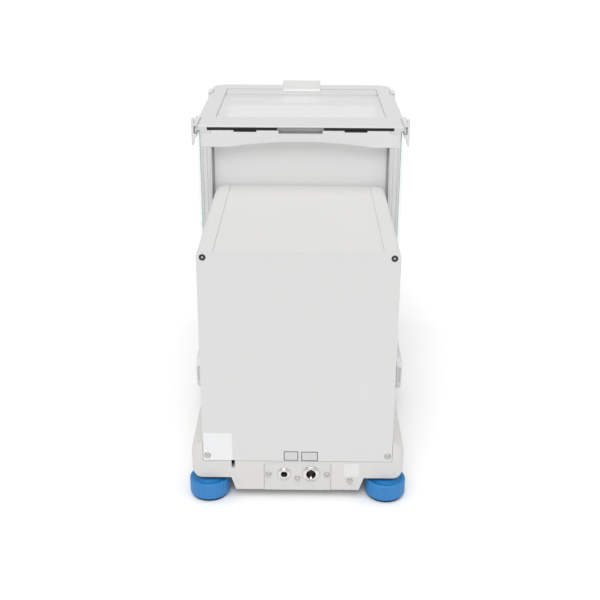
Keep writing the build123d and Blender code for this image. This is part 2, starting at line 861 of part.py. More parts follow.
level_spot = (39.0 - half_chamber, rear_y - front_post_start + 17.0)
cup_r = 9.0
cup_wall = 1.8
cup_floor = 1.5
cup_height = 6.0
cup_edge = 0.6
vial_gap = 0.05
vial_top = 5.6
vial_edge = 1.0
with BuildPart() as level_cup:
    rod(*level_spot, (floor_level, floor_level + cup_height), cup_r)
    rod(
        *level_spot,
        (floor_level + cup_floor, floor_level + cup_height + cut),
        cup_r - cup_wall,
        Mode.SUBTRACT,
    )
    cup_rims = level_cup.edges().filter_by(GeomType.CIRCLE).group_by(Axis.Z)[-1]
    fillet(cup_rims.sort_by(SortBy.RADIUS)[-1], cup_edge)
save(level_cup, "level_cup")

with BuildPart() as level_vial:
    rod(*level_spot, (floor_level + cup_floor, floor_level + vial_top), cup_r - cup_wall - vial_gap)
    fillet(level_vial.edges().sort_by(Axis.Z)[-1], vial_edge)
save(level_vial, "level_vial")

# ---------------------------------------------------------------- doors
# Each side door is a glass sheet that hangs from two plastic hooks on the rim of the top frame
# and runs in a groove of the base. The rear hook ends in a blade for the fingers, and a grip on
# the lower rear corner also stops the door against the base.
door_x = half_chamber - door_rim
door_out = door_x + glass
door_tail = 3.0
door_rear = chamber_setback - door_tail
door_front = front_post_start - 0.4
door_bottom_gap = 0.5
door_top_gap = 0.4
glue_gap = 0.05
hook_gap = 0.4
hook_reach = 3.5
hook_out = half_chamber + 3.0
hook_bar = frame_top + hook_gap
hook_bar_thickness = 2.0
hook_blade = 9.0
hook_length = 39.0
hook_horn = 8.0
hook_horn_wall = 2.6
hook_wall_inset = 0.6
hook_lip_depth = 3.5
hook_edge_r = 0.6
hook_tip = 2.2
hook_throat = 3.6
hook_throat_drop = 6.5
front_hook = (22.0, 46.0)
front_hook_lip = 6.0
grip_gap = 0.1
grip_out = door_out + 6.4
grip_ear_offset = 20.5
grip_ear_half = 19.5
grip_ear_drop = 35.0
grip_ear_step = 27.0
grip_strip = 7.0
grip_strip_gap = 0.4
grip_strip_length = 40.0
grip_slit = (18.0, 41.0)
grip_slit_z = (22.0, 3.0)
grip_inner_wall = 1.6
grip_outer_wall = 2.2
grip_chamfer = 1.2


def side_door(side, side_name):
    """Glass, two hooks and the lower grip of one side door."""
    with BuildPart() as sheet:
        block(
            beside(side, door_x, door_out),
            span(door_rear, door_front),
            (door_groove_low + door_bottom_gap, frame_low + groove_bite - door_top_gap),
        )
    save(sheet, f"{side_name}_door_glass")
    with BuildPart() as hooks:
        # Cross-section of the hook: a bar over the rim, the outer wall, and the blade below.
        with BuildSketch(Plane.XZ.offset(-rear_y + door_rear)):
            with BuildLine():
                FilletPolyline(
                    (side * (half_chamber - hook_reach), hook_bar),
                    (side * (half_chamber - hook_reach), hook_bar + hook_bar_thickness),
                    (side * (hook_out - hook_horn_wall), hook_bar + hook_horn_wall),
                    (side * (hook_out - hook_horn_wall), hook_bar + hook_horn),
                    (side * hook_out, hook_bar + hook_horn),
                    (side * hook_out, beam_low + hook_tip),
                    (side * (hook_out - hook_bar_thickness), beam_low + hook_tip),
                    (side * (hook_out - hook_throat), frame_low - hook_throat_drop),
                    radius=hook_edge_r,
                )
                Polyline(
                    (side * (hook_out - hook_throat), frame_low - hook_throat_drop),
                    (side * (door_out + glue_gap), frame_low - hook_lip_depth - 0.5),
                    (side * (door_out + glue_gap), frame_low - hook_gap),
                    (side * (half_chamber + hook_gap), frame_low - hook_gap),
                    (side * (half_chamber + hook_gap), hook_bar),
                    (side * (half_chamber - hook_reach), hook_bar),
                )
            make_face()
        extrude(amount=hook_blade)
        # Bar over the rim, outer wall and lip under the rim, along the rear clip and the front clip.
        for clip, lip in (
            (span(door_rear + hook_blade, door_rear + hook_blade + hook_length), hook_lip_depth),
            (span(door_front - front_hook[1], door_front - front_hook[0]), front_hook_lip),
        ):
            outer_wall = beside(side, half_chamber + hook_gap, hook_out - hook_wall_inset)
            bar = beside(side, half_chamber - hook_reach, hook_out - hook_wall_inset)
            block(outer_wall, clip, (frame_low - lip, hook_bar + hook_bar_thickness))
            block(bar, clip, (hook_bar, hook_bar + hook_bar_thickness))
            block(
                beside(side, door_out + glue_gap, half_chamber + cut),
                clip,
                (frame_low - lip, frame_low - hook_gap),
            )
    save(hooks, f"{side_name}_door_hooks")
    with BuildPart() as grip:
        # An eight-sided ear behind the base, joined to a strip clamped along the glass.
        ear_mid_y = rear_y - (chamber_base_start - grip_ear_offset)
        with BuildSketch(Plane.YZ.offset(beside(side, door_out + grip_gap, grip_out)[0])):
            with BuildLine():
                Polyline(
                    (ear_mid_y - grip_ear_half, shoulder_top + grip_strip),
                    (ear_mid_y + grip_ear_half / 2, shoulder_top + grip_strip),
                    (ear_mid_y + grip_ear_half, shoulder_top - grip_chamfer),
                    (ear_mid_y + grip_ear_half, shoulder_top - grip_ear_step),
                    (ear_mid_y + grip_ear_half / 2, shoulder_top - grip_ear_drop),
                    (ear_mid_y - grip_ear_half / 2, shoulder_top - grip_ear_drop),
                    (ear_mid_y - grip_ear_half, shoulder_top - grip_ear_step),
                    close=True,
                )
            make_face()
        extrude(amount=grip_out - door_out - grip_gap)
        block(
            beside(side, door_out + grip_gap, grip_out),
            span(chamber_base_start - 2 * cut, door_rear + grip_strip_length),
            (shoulder_top + grip_strip_gap, shoulder_top + grip_strip),
        )
        # Finger slit behind the outer wall of the ear.
        block(
            beside(side, door_out + grip_inner_wall, grip_out - grip_outer_wall),
            span(chamber_base_start - grip_slit[1], chamber_base_start - grip_slit[0]),
            (shoulder_top - grip_slit_z[0], shoulder_top - grip_slit_z[1]),
            Mode.SUBTRACT,
        )
        chamfer(grip.faces().sort_by(Axis.X)[-1 if side > 0 else 0].edges(), grip_chamfer)
    save(grip, f"{side_name}_door_grip")


for side, side_name in ((1, "right"), (-1, "left")):
    side_door(side, side_name)

top_sheet_low = channel_low + glass_slide_gap
top_sheet_high = top_sheet_low + glass
bar_side_gap = 0.6
top_sheet_front = window[1] - bar_side_gap
top_sheet_rear = chamber_setback + 2.0
bar_length = 35.4
bar_thickness = 1.3
bar_corner_r = 3.0
bar_high = top_sheet_high + bar_thickness
tab_half = 25.5
tab_height = 14.0
tab_span = (3.0, 6.0)
tab_foot_span = (1.0, 22.0)
tab_foot = 1.7
tab_edge = 1.2
tab_side_edge = 1.0
with BuildPart() as top_door_glass:
    block(
        across(channel_half - glass_side_gap),
        span(top_sheet_rear, top_sheet_front),
        (top_sheet_low, top_sheet_high),
    )
save(top_door_glass, "top_door_glass")

with BuildPart() as top_door_handle:
    block(
        across(window_half - bar_side_gap),
        span(top_sheet_front - bar_length, top_sheet_front),
        (top_sheet_high, bar_high),
    )
    fillet(top_door_handle.edges().filter_by(Axis.Z), bar_corner_r)
    block(
        across(tab_half),
        span(top_sheet_front - tab_foot_span[1], top_sheet_front - tab_foot_span[0]),
        (bar_high, bar_high + tab_foot),
    )
    block(
        across(tab_half),
        span(top_sheet_front - tab_span[1], top_sheet_front - tab_span[0]),
        (bar_high, bar_high + tab_height),
    )
    fillet(top_door_handle.edges().filter_by(Axis.X).group_by(Axis.Z)[-1], tab_edge)
    fillet(top_door_handle.edges().filter_by(Axis.Y).group_by(Axis.Z)[-1], tab_side_edge)
save(top_door_handle, "top_door_handle")

# ---------------------------------------------------------------- pan
pan_sheet = 1.2
pan_rim = 3.2
pan_edge_r = 0.6
pan_hub_r = 9.0
pan_hub_height = 17.0
pan_hub_chamfer = 2.0
carrier_r = 4.5
cone_top = pan_top - 3.0
cone_end_gap = 0.2
with BuildPart() as weighing_pan:
    rod(0, pan_y, (pan_top - pan_rim, pan_top), pan_r)
    rod(0, pan_y, (pan_top - pan_rim - cut, pan_top - pan_sheet), pan_r - pan_sheet, Mode.SUBTRACT)
    fillet(weighing_pan.edges().filter_by(GeomType.CIRCLE).sort_by(Axis.Z)[-1], pan_edge_r)
    rod(0, pan_y, (pan_top - pan_hub_height, pan_top - pan_sheet), pan_hub_r)
    rod(
        0,
        pan_y,
        (pan_top - pan_hub_height - cut, cone_top + cone_end_gap),
        carrier_r + running_gap,
        Mode.SUBTRACT,
    )
    hub_rims = weighing_pan.edges().filter_by(GeomType.CIRCLE).group_by(Axis.Z)[0]
    chamfer(hub_rims.sort_by(SortBy.RADIUS)[-1], pan_hub_chamfer)
save(weighing_pan, "weighing_pan")

# ---------------------------------------------------------------- force cell inside the housing
# The pan's load goes down the carrier and back along the load arm to a receiver, which two
# guides hold upright. A lever lifts a coil out of its magnet by the same share.
arm_low = floor_top + 15.0
arm_high = arm_low + 11.0
arm_half = 7.0
arm_nose = 9.0
arm_nose_r = 6.5
carrier_foot_r = 7.0
carrier_foot_drop = 9.0
cone_chamfer = 1.5
arm_joint = 4.0
receiver_start = 205.0
receiver_end = 221.0
receiver_half = 17.0
receiver_high = 112.0
receiver_mid = (receiver_start + receiver_end - arm_joint) / 2
seat_x = 20.0
seat_half = 4.0
seat_rise = 14.0
seat_shelf = 5.0
strip_half = 9.0
strip_reach = 9.0
strip_thickness = 0.4
strip_cap = 2.0
strip_rise = 12.0
column = (150.0, 168.0)
column_half = 24.0
frame_foot_half = 34.0
frame_foot = 8.0
guide_half = 22.0
guide_window_half = 14.0
guide_low = (36.5, 40.5)
guide_high = (103.5, 107.5)
guide_seat = (2.0, 3.0)
guide_seat_gap = 0.6
guide_window = 9.0
flexure_depth = 1.6
flexure_width = 2.0
flexure_insets = (4.0, 6.0)
lever_z = (70.0, 80.0)
lever_half = 4.0
lever_window_gap = 4.0
lever_head_half = 10.0
lever_head = (12.0, 6.0)
lever_head_step = 2.0
fulcrum = 186.0
fulcrum_half = 3.0
knife_half = 7.5
fulcrum_arm = (8.5, 13.5)
fulcrum_drop = 10.0
magnet = 84.0
magnet_r = 27.0
vane_half = 2.0
vane = (16.0, 10.0)
flexure_gap = 0.25
knife_height = 1.0
frame_tail = 40.0
frame_toe = 6.0
seat_groove_r = 6.2
seat_groove_rise = 15.0

with BuildPart() as load_arm:
    block(across(arm_half), span(receiver_end - arm_joint, pan_setback + arm_nose), (arm_low, arm_high))
    fillet(load_arm.edges().filter_by(Axis.Z).group_by(Axis.Y)[0], arm_nose_r)
    rod(0, pan_y, (arm_high, cone_top), carrier_r)
    chamfer(load_arm.edges().filter_by(GeomType.CIRCLE).sort_by(Axis.Z)[-1], cone_chamfer)
    rod(0, pan_y, (arm_high - carrier_foot_drop, arm_high), carrier_foot_r)
save(load_arm, "load_arm")

with BuildPart() as receiver:
    receiver_body = span(receiver_start, receiver_end - arm_joint)
    block(across(receiver_half), receiver_body, (arm_low, receiver_high))
    strip_top = lever_z[1] + strip_rise
    block(
        across(strip_half),
        span(receiver_start - strip_reach, receiver_start),
        (strip_top - strip_cap, strip_top),
    )
    block(
        across(strip_half),
        span(receiver_start - strip_reach, receiver_start - strip_reach + strip_thickness),
        (lever_z[1] + flexure_gap, strip_top),
    )
    seat_body = span(receiver_start + cut, receiver_end - arm_joint - cut)
    for side in (-1, 1):
        block(
            beside(side, seat_x - seat_half, seat_x + seat_half),
            seat_body,
            (receiver_high, receiver_high + seat_rise),
        )
    block(across(seat_x + seat_half), seat_body, (receiver_high - seat_shelf, receiver_high))
    for side in (-1, 1):
        with Locations((side * seat_x, rear_y - receiver_mid, receiver_high + seat_groove_rise)):
            Cylinder(seat_groove_r, 3 * seat_half, rotation=(0, 90, 0), mode=Mode.SUBTRACT)
save(receiver, "receiver")

with BuildPart() as cell_frame:
    frame_span = span(magnet - frame_tail, column[1] + frame_toe)
    block(across(frame_foot_half), frame_span, (floor_top, floor_top + frame_foot))
    block(across(column_half), span(*column), (floor_top + frame_foot, receiver_high))
    for guide in (guide_low, guide_high):
        block(
            across(column_half + cut),
            span(column[1] - guide_seat[0], column[1] + guide_seat[1]),
            (guide[0] - guide_seat_gap, guide[1] + guide_seat_gap),
            Mode.SUBTRACT,
        )
    block(
        across(arm_half),
        span(column[0] - cut, column[1] + cut),
        (lever_z[0] - lever_window_gap, lever_z[1] + lever_window_gap),
        Mode.SUBTRACT,
    )
    for side in (-1, 1):
        block(
            beside(side, *fulcrum_arm),
            span(column[1], fulcrum + fulcrum_half),
            (lever_z[0] - fulcrum_drop, lever_z[0] + lever_head_step),
        )
    block(
        across(fulcrum_arm[1]),
        span(fulcrum - fulcrum_half, fulcrum + fulcrum_half),
        (lever_z[0] - fulcrum_drop, lever_z[0] - knife_height - flexure_gap),
    )
save(cell_frame, "cell_frame")

guide_span = (column[1] - guide_seat[0] + flexure_gap, receiver_start - flexure_gap)
for guide_name, guide in (("lower_guide", guide_low), ("upper_guide", guide_high)):
    with BuildPart() as guide_plate:
        block(across(guide_half), span(*guide_span), guide)
        block(
            across(guide_window_half),
            span(guide_span[0] + guide_window, guide_span[1] - guide_window),
            (guide[0] - cut, guide[1] + cut),
            Mode.SUBTRACT,
        )
        for near in (guide_span[0] + flexure_insets[0], guide_span[1] - flexure_insets[1]):
            for groove in (
                (guide[1] - flexure_depth, guide[1] + cut),
                (guide[0] - cut, guide[0] + flexure_depth),
            ):
                block(
                    across(guide_half + cut),
                    span(near, near + flexure_width),
                    groove,
                    Mode.SUBTRACT,
                )
    save(guide_plate, guide_name)

with BuildPart() as lever:
    lever_tip = receiver_start - lever_head[1]
    block(across(lever_half), span(magnet - vane[1], lever_tip), lever_z)
    block(
        across(lever_head_half),
        span(receiver_start - lever_head[0], lever_tip),
        (lever_z[0] + lever_head_step, lever_z[1]),
    )
    block(
        across(knife_half),
        span(fulcrum - lever_head_step, fulcrum + lever_head_step),
        (lever_z[0] - knife_height, lever_z[0]),
    )
    block(
        across(vane_half),
        span(magnet - vane[0], magnet - vane[1]),
        (lever_z[0] + lever_half, lever_z[1] - lever_half),
    )
save(lever, "lever")

magnet_top = 52.0
magnet_floor = 6.0
magnet_edge = 1.0
air_gap_r = (13.0, 18.0)
with BuildPart() as magnet_pot:
    pot_low = floor_top + frame_foot
    rod(0, rear_y - magnet, (pot_low, magnet_top), magnet_r)
    rod(0, rear_y - magnet, (pot_low + magnet_floor, magnet_top + cut), air_gap_r[1], Mode.SUBTRACT)
    rod(0, rear_y - magnet, (pot_low + magnet_floor, magnet_top), air_gap_r[0])
    pot_rims = magnet_pot.edges().filter_by(GeomType.CIRCLE).group_by(Axis.Z)[-1]
    chamfer(pot_rims.sort_by(SortBy.RADIUS)[-1], magnet_edge)
save(magnet_pot, "magnet_pot")

coil_depth = 14.0
coil_rise = 6.0
coil_roof = 3.0
coil_outer_gap = 1.2
coil_inner_gap = 1.4
coil_stem_r = 4.0
with BuildPart() as force_coil:
    coil_top = magnet_top + coil_rise
    rod(0, rear_y - magnet, (magnet_top - coil_depth, coil_top), air_gap_r[1] - coil_outer_gap)
    rod(
        0,
        rear_y - magnet,
        (magnet_top - coil_depth - cut, coil_top - coil_roof),
        air_gap_r[0] + coil_inner_gap,
        Mode.SUBTRACT,
    )
    rod(0, rear_y - magnet, (coil_top, lever_z[0]), coil_stem_r)
save(force_coil, "force_coil")

sensor_fork = (4.0, 9.0)
sensor_depth = (24.0, 12.0)
sensor_post_depth = (36.0, 28.0)
sensor_post_half = 5.0
sensor_rise = 4.0
with BuildPart() as position_sensor:
    fork_span = span(magnet - sensor_depth[0], magnet - sensor_depth[1])
    bridge = (lever_z[0] - 2 * sensor_rise, lever_z[0] - sensor_rise)
    for side in (-1, 1):
        block(beside(side, *sensor_fork), fork_span, (bridge[1], lever_z[1] + sensor_rise))
    block(
        across(sensor_post_half),
        span(magnet - sensor_post_depth[0], magnet - sensor_post_depth[1]),
        (floor_top + frame_foot, bridge[1]),
    )
    block(
        across(sensor_fork[1]),
        span(magnet - sensor_post_depth[0], magnet - sensor_depth[1]),
        bridge,
    )
save(position_sensor, "position_sensor")

# ---------------------------------------------------------------- internal adjustment weight
# A geared motor turns a spindle that lowers the weight in its cradle onto the receiver's seats.
weight_r = 6.0
weight_collar = 3.0
weight_half = 27.0
collar_half = 11.0
weight_lift = 3.3
weight_z = receiver_high + seat_groove_rise + weight_lift
spindle_y = rear_y - 188.0
spindle_r = 2.5
spindle_low = receiver_high + 1.5
cradle_low = weight_z - weight_r - weight_collar
cradle_wall = (11.5, 15.5)
cradle_floor = 3.0
cradle_tongue_half = 6.0
cradle_tongue_start = 180.0
cradle_fit = 0.4
with BuildPart() as adjustment_weight:
    with Locations((0, rear_y - receiver_mid, weight_z)):
        Cylinder(weight_r, 2 * weight_half, rotation=(0, 90, 0))
        Cylinder(weight_r + weight_collar, 2 * collar_half, rotation=(0, 90, 0))
save(adjustment_weight, "adjustment_weight")

with BuildPart() as weight_cradle:
    cradle_span = span(receiver_start, receiver_end - arm_joint)
    for side in (-1, 1):
        block(beside(side, *cradle_wall), cradle_span, (cradle_low - cradle_floor, weight_z))
    block(across(cradle_wall[1]), cradle_span, (cradle_low - cradle_floor, cradle_low - cradle_fit))
    block(
        across(cradle_tongue_half),
        span(cradle_tongue_start, receiver_start),
        (cradle_low - cradle_floor, cradle_low + cut),
    )
    with Locations((0, rear_y - receiver_mid, weight_z)):
        Cylinder(weight_r, 2 * seat_x, rotation=(0, 90, 0), mode=Mode.SUBTRACT)
    rod(
        0,
        spindle_y,
        (cradle_low - cradle_floor - cut, cradle_low + 2 * cut),
        spindle_r + running_gap,
        Mode.SUBTRACT,
    )
save(weight_cradle, "weight_cradle")

motor_low = cradle_low + 14.0
motor_height = 24.0
motor_r = 10.0
motor_cap = 6.0
motor_cap_r = 4.0
bracket_half = 13.0
bracket_sheet = 3.0
bracket_shelf_end = 200.0
bracket_foot_end = 160.0
bracket_tongue_half = 7.0
bracket_tongue_end = 195.0
bracket_tongue = 1.2
with BuildPart() as adjustment_spindle:
    rod(0, spindle_y, (spindle_low, motor_low - part_gap), spindle_r)
save(adjustment_spindle, "adjustment_spindle")

with BuildPart() as adjustment_motor:
    rod(0, spindle_y, (motor_low, motor_low + motor_height), motor_r)
    rod(0, spindle_y, (motor_low + motor_height, motor_low + motor_height + motor_cap), motor_cap_r)
save(adjustment_motor, "adjustment_motor")

with BuildPart() as motor_bracket:
    block(
        across(bracket_half),
        span(column[0], column[0] + bracket_sheet),
        (receiver_high, motor_low + motor_height),
    )
    block(
        across(bracket_half),
        span(column[0], bracket_shelf_end),
        (motor_low, motor_low + bracket_sheet),
    )
    rod(0, spindle_y, (motor_low - cut, motor_low + bracket_sheet + cut), motor_r, Mode.SUBTRACT)
    block(
        across(bracket_half),
        span(column[0], bracket_foot_end),
        (receiver_high, receiver_high + bracket_sheet),
    )
    block(
        across(bracket_tongue_half),
        span(bracket_foot_end, bracket_tongue_end),
        (receiver_high, receiver_high + bracket_tongue),
    )
save(motor_bracket, "motor_bracket")

# ---------------------------------------------------------------- electronics
standoff_height = 8.0
standoff_r = 2.5
standoff_inset = 4.0
board_thickness = 1.6
board_low = floor_top + standoff_height
board_high = board_low + board_thickness
board_x = (-90.0, -40.0)
board_depth = (56.0, 214.0)
# Limits across, limits from the rear face, and height of each block of components.
board_parts = (
    ((-80.0, -60.0), (80.0, 100.0), 3.0),
    ((-82.0, -66.0), (120.0, 136.0), 2.5),
    ((-60.0, -46.0), (150.0, 190.0), 9.0),
    ((-84.0, -70.0), (180.0, 204.0), 6.0),
)
with BuildPart() as main_board:
    block(board_x, span(*board_depth), (board_low, board_high))
    for chip_x, chip_depth, chip_height in board_parts:
        block(chip_x, span(*chip_depth), (board_high, board_high + chip_height))
    for spot_x in (board_x[0] + standoff_inset, board_x[1] - standoff_inset):
        for spot in (board_depth[0] + standoff_inset, board_depth[1] - standoff_inset):
            rod(spot_x, rear_y - spot, (floor_top, board_low), standoff_r)
save(main_board, "main_board")
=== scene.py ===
"""Looks of an analytical balance's weighing unit, built around its packed construction."""

import json
from math import cos, exp, hypot, pi, radians, sin

import bmesh
import bpy
from mathutils import Euler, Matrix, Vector


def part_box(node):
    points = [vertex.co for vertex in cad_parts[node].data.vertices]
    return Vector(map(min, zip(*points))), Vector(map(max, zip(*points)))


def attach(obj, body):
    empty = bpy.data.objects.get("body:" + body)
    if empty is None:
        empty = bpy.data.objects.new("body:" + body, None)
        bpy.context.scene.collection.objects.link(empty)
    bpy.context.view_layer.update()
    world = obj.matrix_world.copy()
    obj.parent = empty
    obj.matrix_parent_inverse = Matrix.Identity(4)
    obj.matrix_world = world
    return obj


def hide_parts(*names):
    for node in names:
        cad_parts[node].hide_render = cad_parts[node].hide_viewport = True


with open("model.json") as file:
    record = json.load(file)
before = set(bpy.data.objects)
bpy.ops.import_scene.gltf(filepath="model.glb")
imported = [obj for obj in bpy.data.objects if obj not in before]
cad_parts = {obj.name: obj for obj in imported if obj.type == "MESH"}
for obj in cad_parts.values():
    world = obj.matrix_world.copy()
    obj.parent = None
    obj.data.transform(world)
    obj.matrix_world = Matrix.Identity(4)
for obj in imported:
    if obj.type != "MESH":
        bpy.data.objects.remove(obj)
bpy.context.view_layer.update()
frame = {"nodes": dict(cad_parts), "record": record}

MM = 0.001

# ---------------------------------------------------------------- base casting
# The base is one aluminium pressure casting with softened edges, blasted and powder coated in a
# fine texture. Its rear corners are cut up for the levelling wheels.


class Tone:
    """A socket in a material's node tree. Arithmetic on it adds the Math nodes that work it out."""

    def __init__(self, socket):
        self.socket = socket

    def node(self, kind, inputs, output=0, **settings):
        """Adds a node: its settings and ramp stops first, then numbers, colours or links to its sockets."""
        tree = self.socket.id_data
        made = tree.nodes.new(kind)
        stops = settings.pop("stops", ())
        for name, value in settings.items():
            setattr(made, name, value)
        for index, (place, colour) in enumerate(stops):
            ramp = made.color_ramp.elements
            stop = ramp[index] if index < len(ramp) else ramp.new(place)
            stop.position = place
            stop.color = colour
        for name, value in inputs.items():
            if isinstance(value, Tone):
                tree.links.new(value.socket, made.inputs[name])
            else:
                made.inputs[name].default_value = value
        return Tone(made.outputs[output])

    def maths(self, operation, *terms):
        return self.node("ShaderNodeMath", dict(enumerate(terms)), operation=operation)

    def __add__(self, other):
        return self.maths("ADD", self, other)

    def __sub__(self, other):
        return self.maths("SUBTRACT", self, other)

    def __rsub__(self, other):
        return self.maths("SUBTRACT", other, self)

    def __mul__(self, other):
        return self.maths("MULTIPLY", self, other)

    def __gt__(self, other):
        return self.maths("GREATER_THAN", self, other)

    def __lt__(self, other):
        return self.maths("LESS_THAN", self, other)

    __radd__ = __add__
    __rmul__ = __mul__

    def stretched(self, x, y, z):
        """Coordinates scaled apart along each axis, for brushed and turned marks."""
        return self.node("ShaderNodeMapping", {"Vector": self, "Scale": (x, y, z)})

    def noise(self, scale, detail=2.0):
        """Smooth noise from about 0 to 1 on these coordinates."""
        return self.node("ShaderNodeTexNoise", {"Vector": self, "Scale": scale, "Detail": detail})

    def blend(self, low, high):
        """The colour between two others that this value picks."""
        low = (*low, 1.0) if isinstance(low, tuple) and len(low) == 3 else low
        high = (*high, 1.0) if isinstance(high, tuple) and len(high) == 3 else high
        return self.node("ShaderNodeMix", {0: self, 6: low, 7: high}, output=2, data_type="RGBA")

    def feed(self, shader, name):
        self.socket.id_data.links.new(self.socket, shader.inputs[name])

    def bump(self, shader, strength, depth):
        """Raises the shader's surface by this value."""
        height = self.node("ShaderNodeBump", {"Height": self, "Strength": strength, "Distance": depth})
        height.feed(shader, "Normal")


def material_of(name, constants):
    """A new material, its shader with the constant sockets set, and its object coordinates."""
    made = bpy.data.materials.new(name)
    made.use_nodes = True
    shader = made.node_tree.nodes["Principled BSDF"]
    for socket, value in constants.items():
        shader.inputs[socket].default_value = value
    return made, shader, Tone(made.node_tree.nodes.new("ShaderNodeTexCoord").outputs["Object"])


def shade(colour, share):
    """A colour made darker or lighter by a share."""
    return tuple(channel * share for channel in colour)


def powder_coat(name, colour, grain, roughness, depth):
    """Baked powder coat: an even colour that clouds slightly, over a fine orange-peel texture."""
    made, shader, place = material_of(name, {"Specular IOR Level": 0.42})
    peel = place.noise(grain, 3.0)
    specks = place.noise(grain * 2.6, 1.0)
    clouds = place.noise(7.0, 2.0)
    tint = clouds.blend(shade(colour, 0.985), shade(colour, 1.012))
    pits = (specks > 0.63) * 0.35
    pits.blend(tint, shade(colour, 0.88)).feed(shader, "Base Color")
    (roughness + (peel - 0.5) * 0.16 + (clouds - 0.5) * 0.08).feed(shader, "Roughness")
    (peel + specks * 0.5).bump(shader, 0.5, depth)
    return made


def coat(node, material):
    """Puts a finish on a construction piece that keeps its own shape."""
    slots = frame["nodes"][node].material_slots
    for spot in slots:
        spot.material = material


def body_with(node):
    """The moving body that a construction piece belongs to."""
    for body, members in frame["record"]["behaviour"]["bodies"].items():
        if node in members:
            return body
    raise ValueError(node)


def stand_in(piece, node):
    """The piece takes a construction piece's place and body."""
    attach(piece, body_with(node))
    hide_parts(node)


def piece_of(name, work, *materials):
    """Closes a bmesh into a piece of the scene, with its finishes."""
    mesh = bpy.data.meshes.new(name)
    work.to_mesh(mesh)
    work.free()
    for material in materials:
        mesh.materials.append(material)
    piece = bpy.data.objects.new(name, mesh)
    bpy.context.scene.collection.objects.link(piece)
    return piece


def settled(piece):
    """Turns a piece with modifiers into a plain mesh."""
    bpy.context.view_layer.update()
    live = piece.evaluated_get(bpy.context.evaluated_depsgraph_get())
    plain = bpy.data.meshes.new_from_object(live)
    piece.modifiers.clear()
    piece.data = plain
    return piece


def eased(node, name, material, radius, segments=2):
    """A construction piece with its sharp edges rounded, as casting, moulding or paint leaves them."""
    work = bmesh.new()
    work.from_mesh(frame["nodes"][node].data)
    bmesh.ops.remove_doubles(work, verts=work.verts, dist=0.004 * MM)
    bmesh.ops.dissolve_limit(
        work, angle_limit=radians(0.6), verts=work.verts, edges=work.edges, delimit=set()
    )
    for face in work.faces:
        face.smooth = True
        face.material_index = 0
    piece = piece_of(name, work, material)
    easing = piece.modifiers.new("easing", "BEVEL")
    easing.width = radius
    easing.segments = segments
    easing.limit_method = "ANGLE"
    easing.angle_limit = radians(32)
    easing.use_clamp_overlap = True
    easing.miter_outer = "MITER_ARC"
    easing.harden_normals = True
    easing.profile = 0.6
    weights = piece.modifiers.new("weights", "WEIGHTED_NORMAL")
    weights.keep_sharp = True
    settled(piece)
    stand_in(piece, node)
    return piece


warm_grey = (0.665, 0.656, 0.636)
casting_coat = powder_coat("casting_powder_coat", warm_grey, 950.0, 0.47, 0.06 * MM)
eased("base_casting", "base_casting_coated", casting_coat, 0.7 * MM)

# ---------------------------------------------------------------- housing
# A cast hood with two rails along its top, sprayed in the same grey as the base, and a flat steel
# panel that closes it from behind. The panel is smoother than the castings.
cover_coat = powder_coat("cover_powder_coat", (0.68, 0.674, 0.66), 1100.0, 0.44, 0.045 * MM)
panel_coat = powder_coat("panel_powder_coat", (0.665, 0.665, 0.66), 1500.0, 0.4, 0.03 * MM)
eased("housing_cover", "housing_cover_coated", cover_coat, 0.45 * MM)
eased("rear_panel", "rear_panel_coated", panel_coat, 0.4 * MM)

# ---------------------------------------------------------------- moulded parts
# Posts, roof frame, lintel, rear wall, door hooks and grips are injection moulded in a light grey
# plastic with a spark-eroded grain, fixed to the base from inside.


def moulded(name, colour, grain=1900.0, roughness=0.5, depth=0.025 * MM):
    """Moulded plastic with the fine eroded grain of its tool and faint flow clouds."""
    made, shader, place = material_of(name, {"Specular IOR Level": 0.46, "IOR": 1.49})
    cells = place.node("ShaderNodeTexVoronoi", {"Vector": place, "Scale": grain}, feature="F1")
    grains = place.noise(grain * 0.5, 2.0)
    flow = place.stretched(1.0, 1.0, 0.35).noise(11.0, 2.0)
    flow.blend(shade(colour, 0.985), shade(colour, 1.012)).feed(shader, "Base Color")
    (roughness + (grains - 0.5) * 0.14).feed(shader, "Roughness")
    (cells + grains).bump(shader, 0.4, depth)
    return made


frame_plastic = moulded("frame_plastic", (0.665, 0.667, 0.665))
# The rear wall's grey is a lighter copy of the frame's plastic: painted light for a wall set back in shade.
wall_grey_painted_light = moulded("rear_wall_grey_painted_light", (0.80, 0.802, 0.802), 1500.0, 0.42)
post_plastic = moulded("post_plastic", (0.67, 0.673, 0.675), 2100.0, 0.46)
hook_plastic = moulded("hook_plastic", (0.70, 0.702, 0.70), 2300.0, 0.38)
eased("top_frame", "top_frame_moulded", frame_plastic, 0.5 * MM)
# The lintel's grey is a lighter copy of the frame's plastic: painted light.
lintel_grey_painted_light = moulded("lintel_grey_painted_light", (0.72, 0.722, 0.72))
eased("rear_lintel", "rear_lintel_moulded", lintel_grey_painted_light, 0.4 * MM)
eased("chamber_rear_wall", "chamber_rear_wall_moulded", wall_grey_painted_light, 0.3 * MM)
for side in ("left", "right"):
    eased(f"{side}_rear_post", f"{side}_rear_post_moulded", post_plastic, 0.25 * MM)
    eased(f"{side}_front_post", f"{side}_front_post_moulded", frame_plastic, 0.5 * MM)
    eased(f"{side}_door_hooks", f"{side}_door_hooks_moulded", hook_plastic, 0.25 * MM)
    eased(f"{side}_door_grip", f"{side}_door_grip_moulded", hook_plastic, 0.35 * MM)
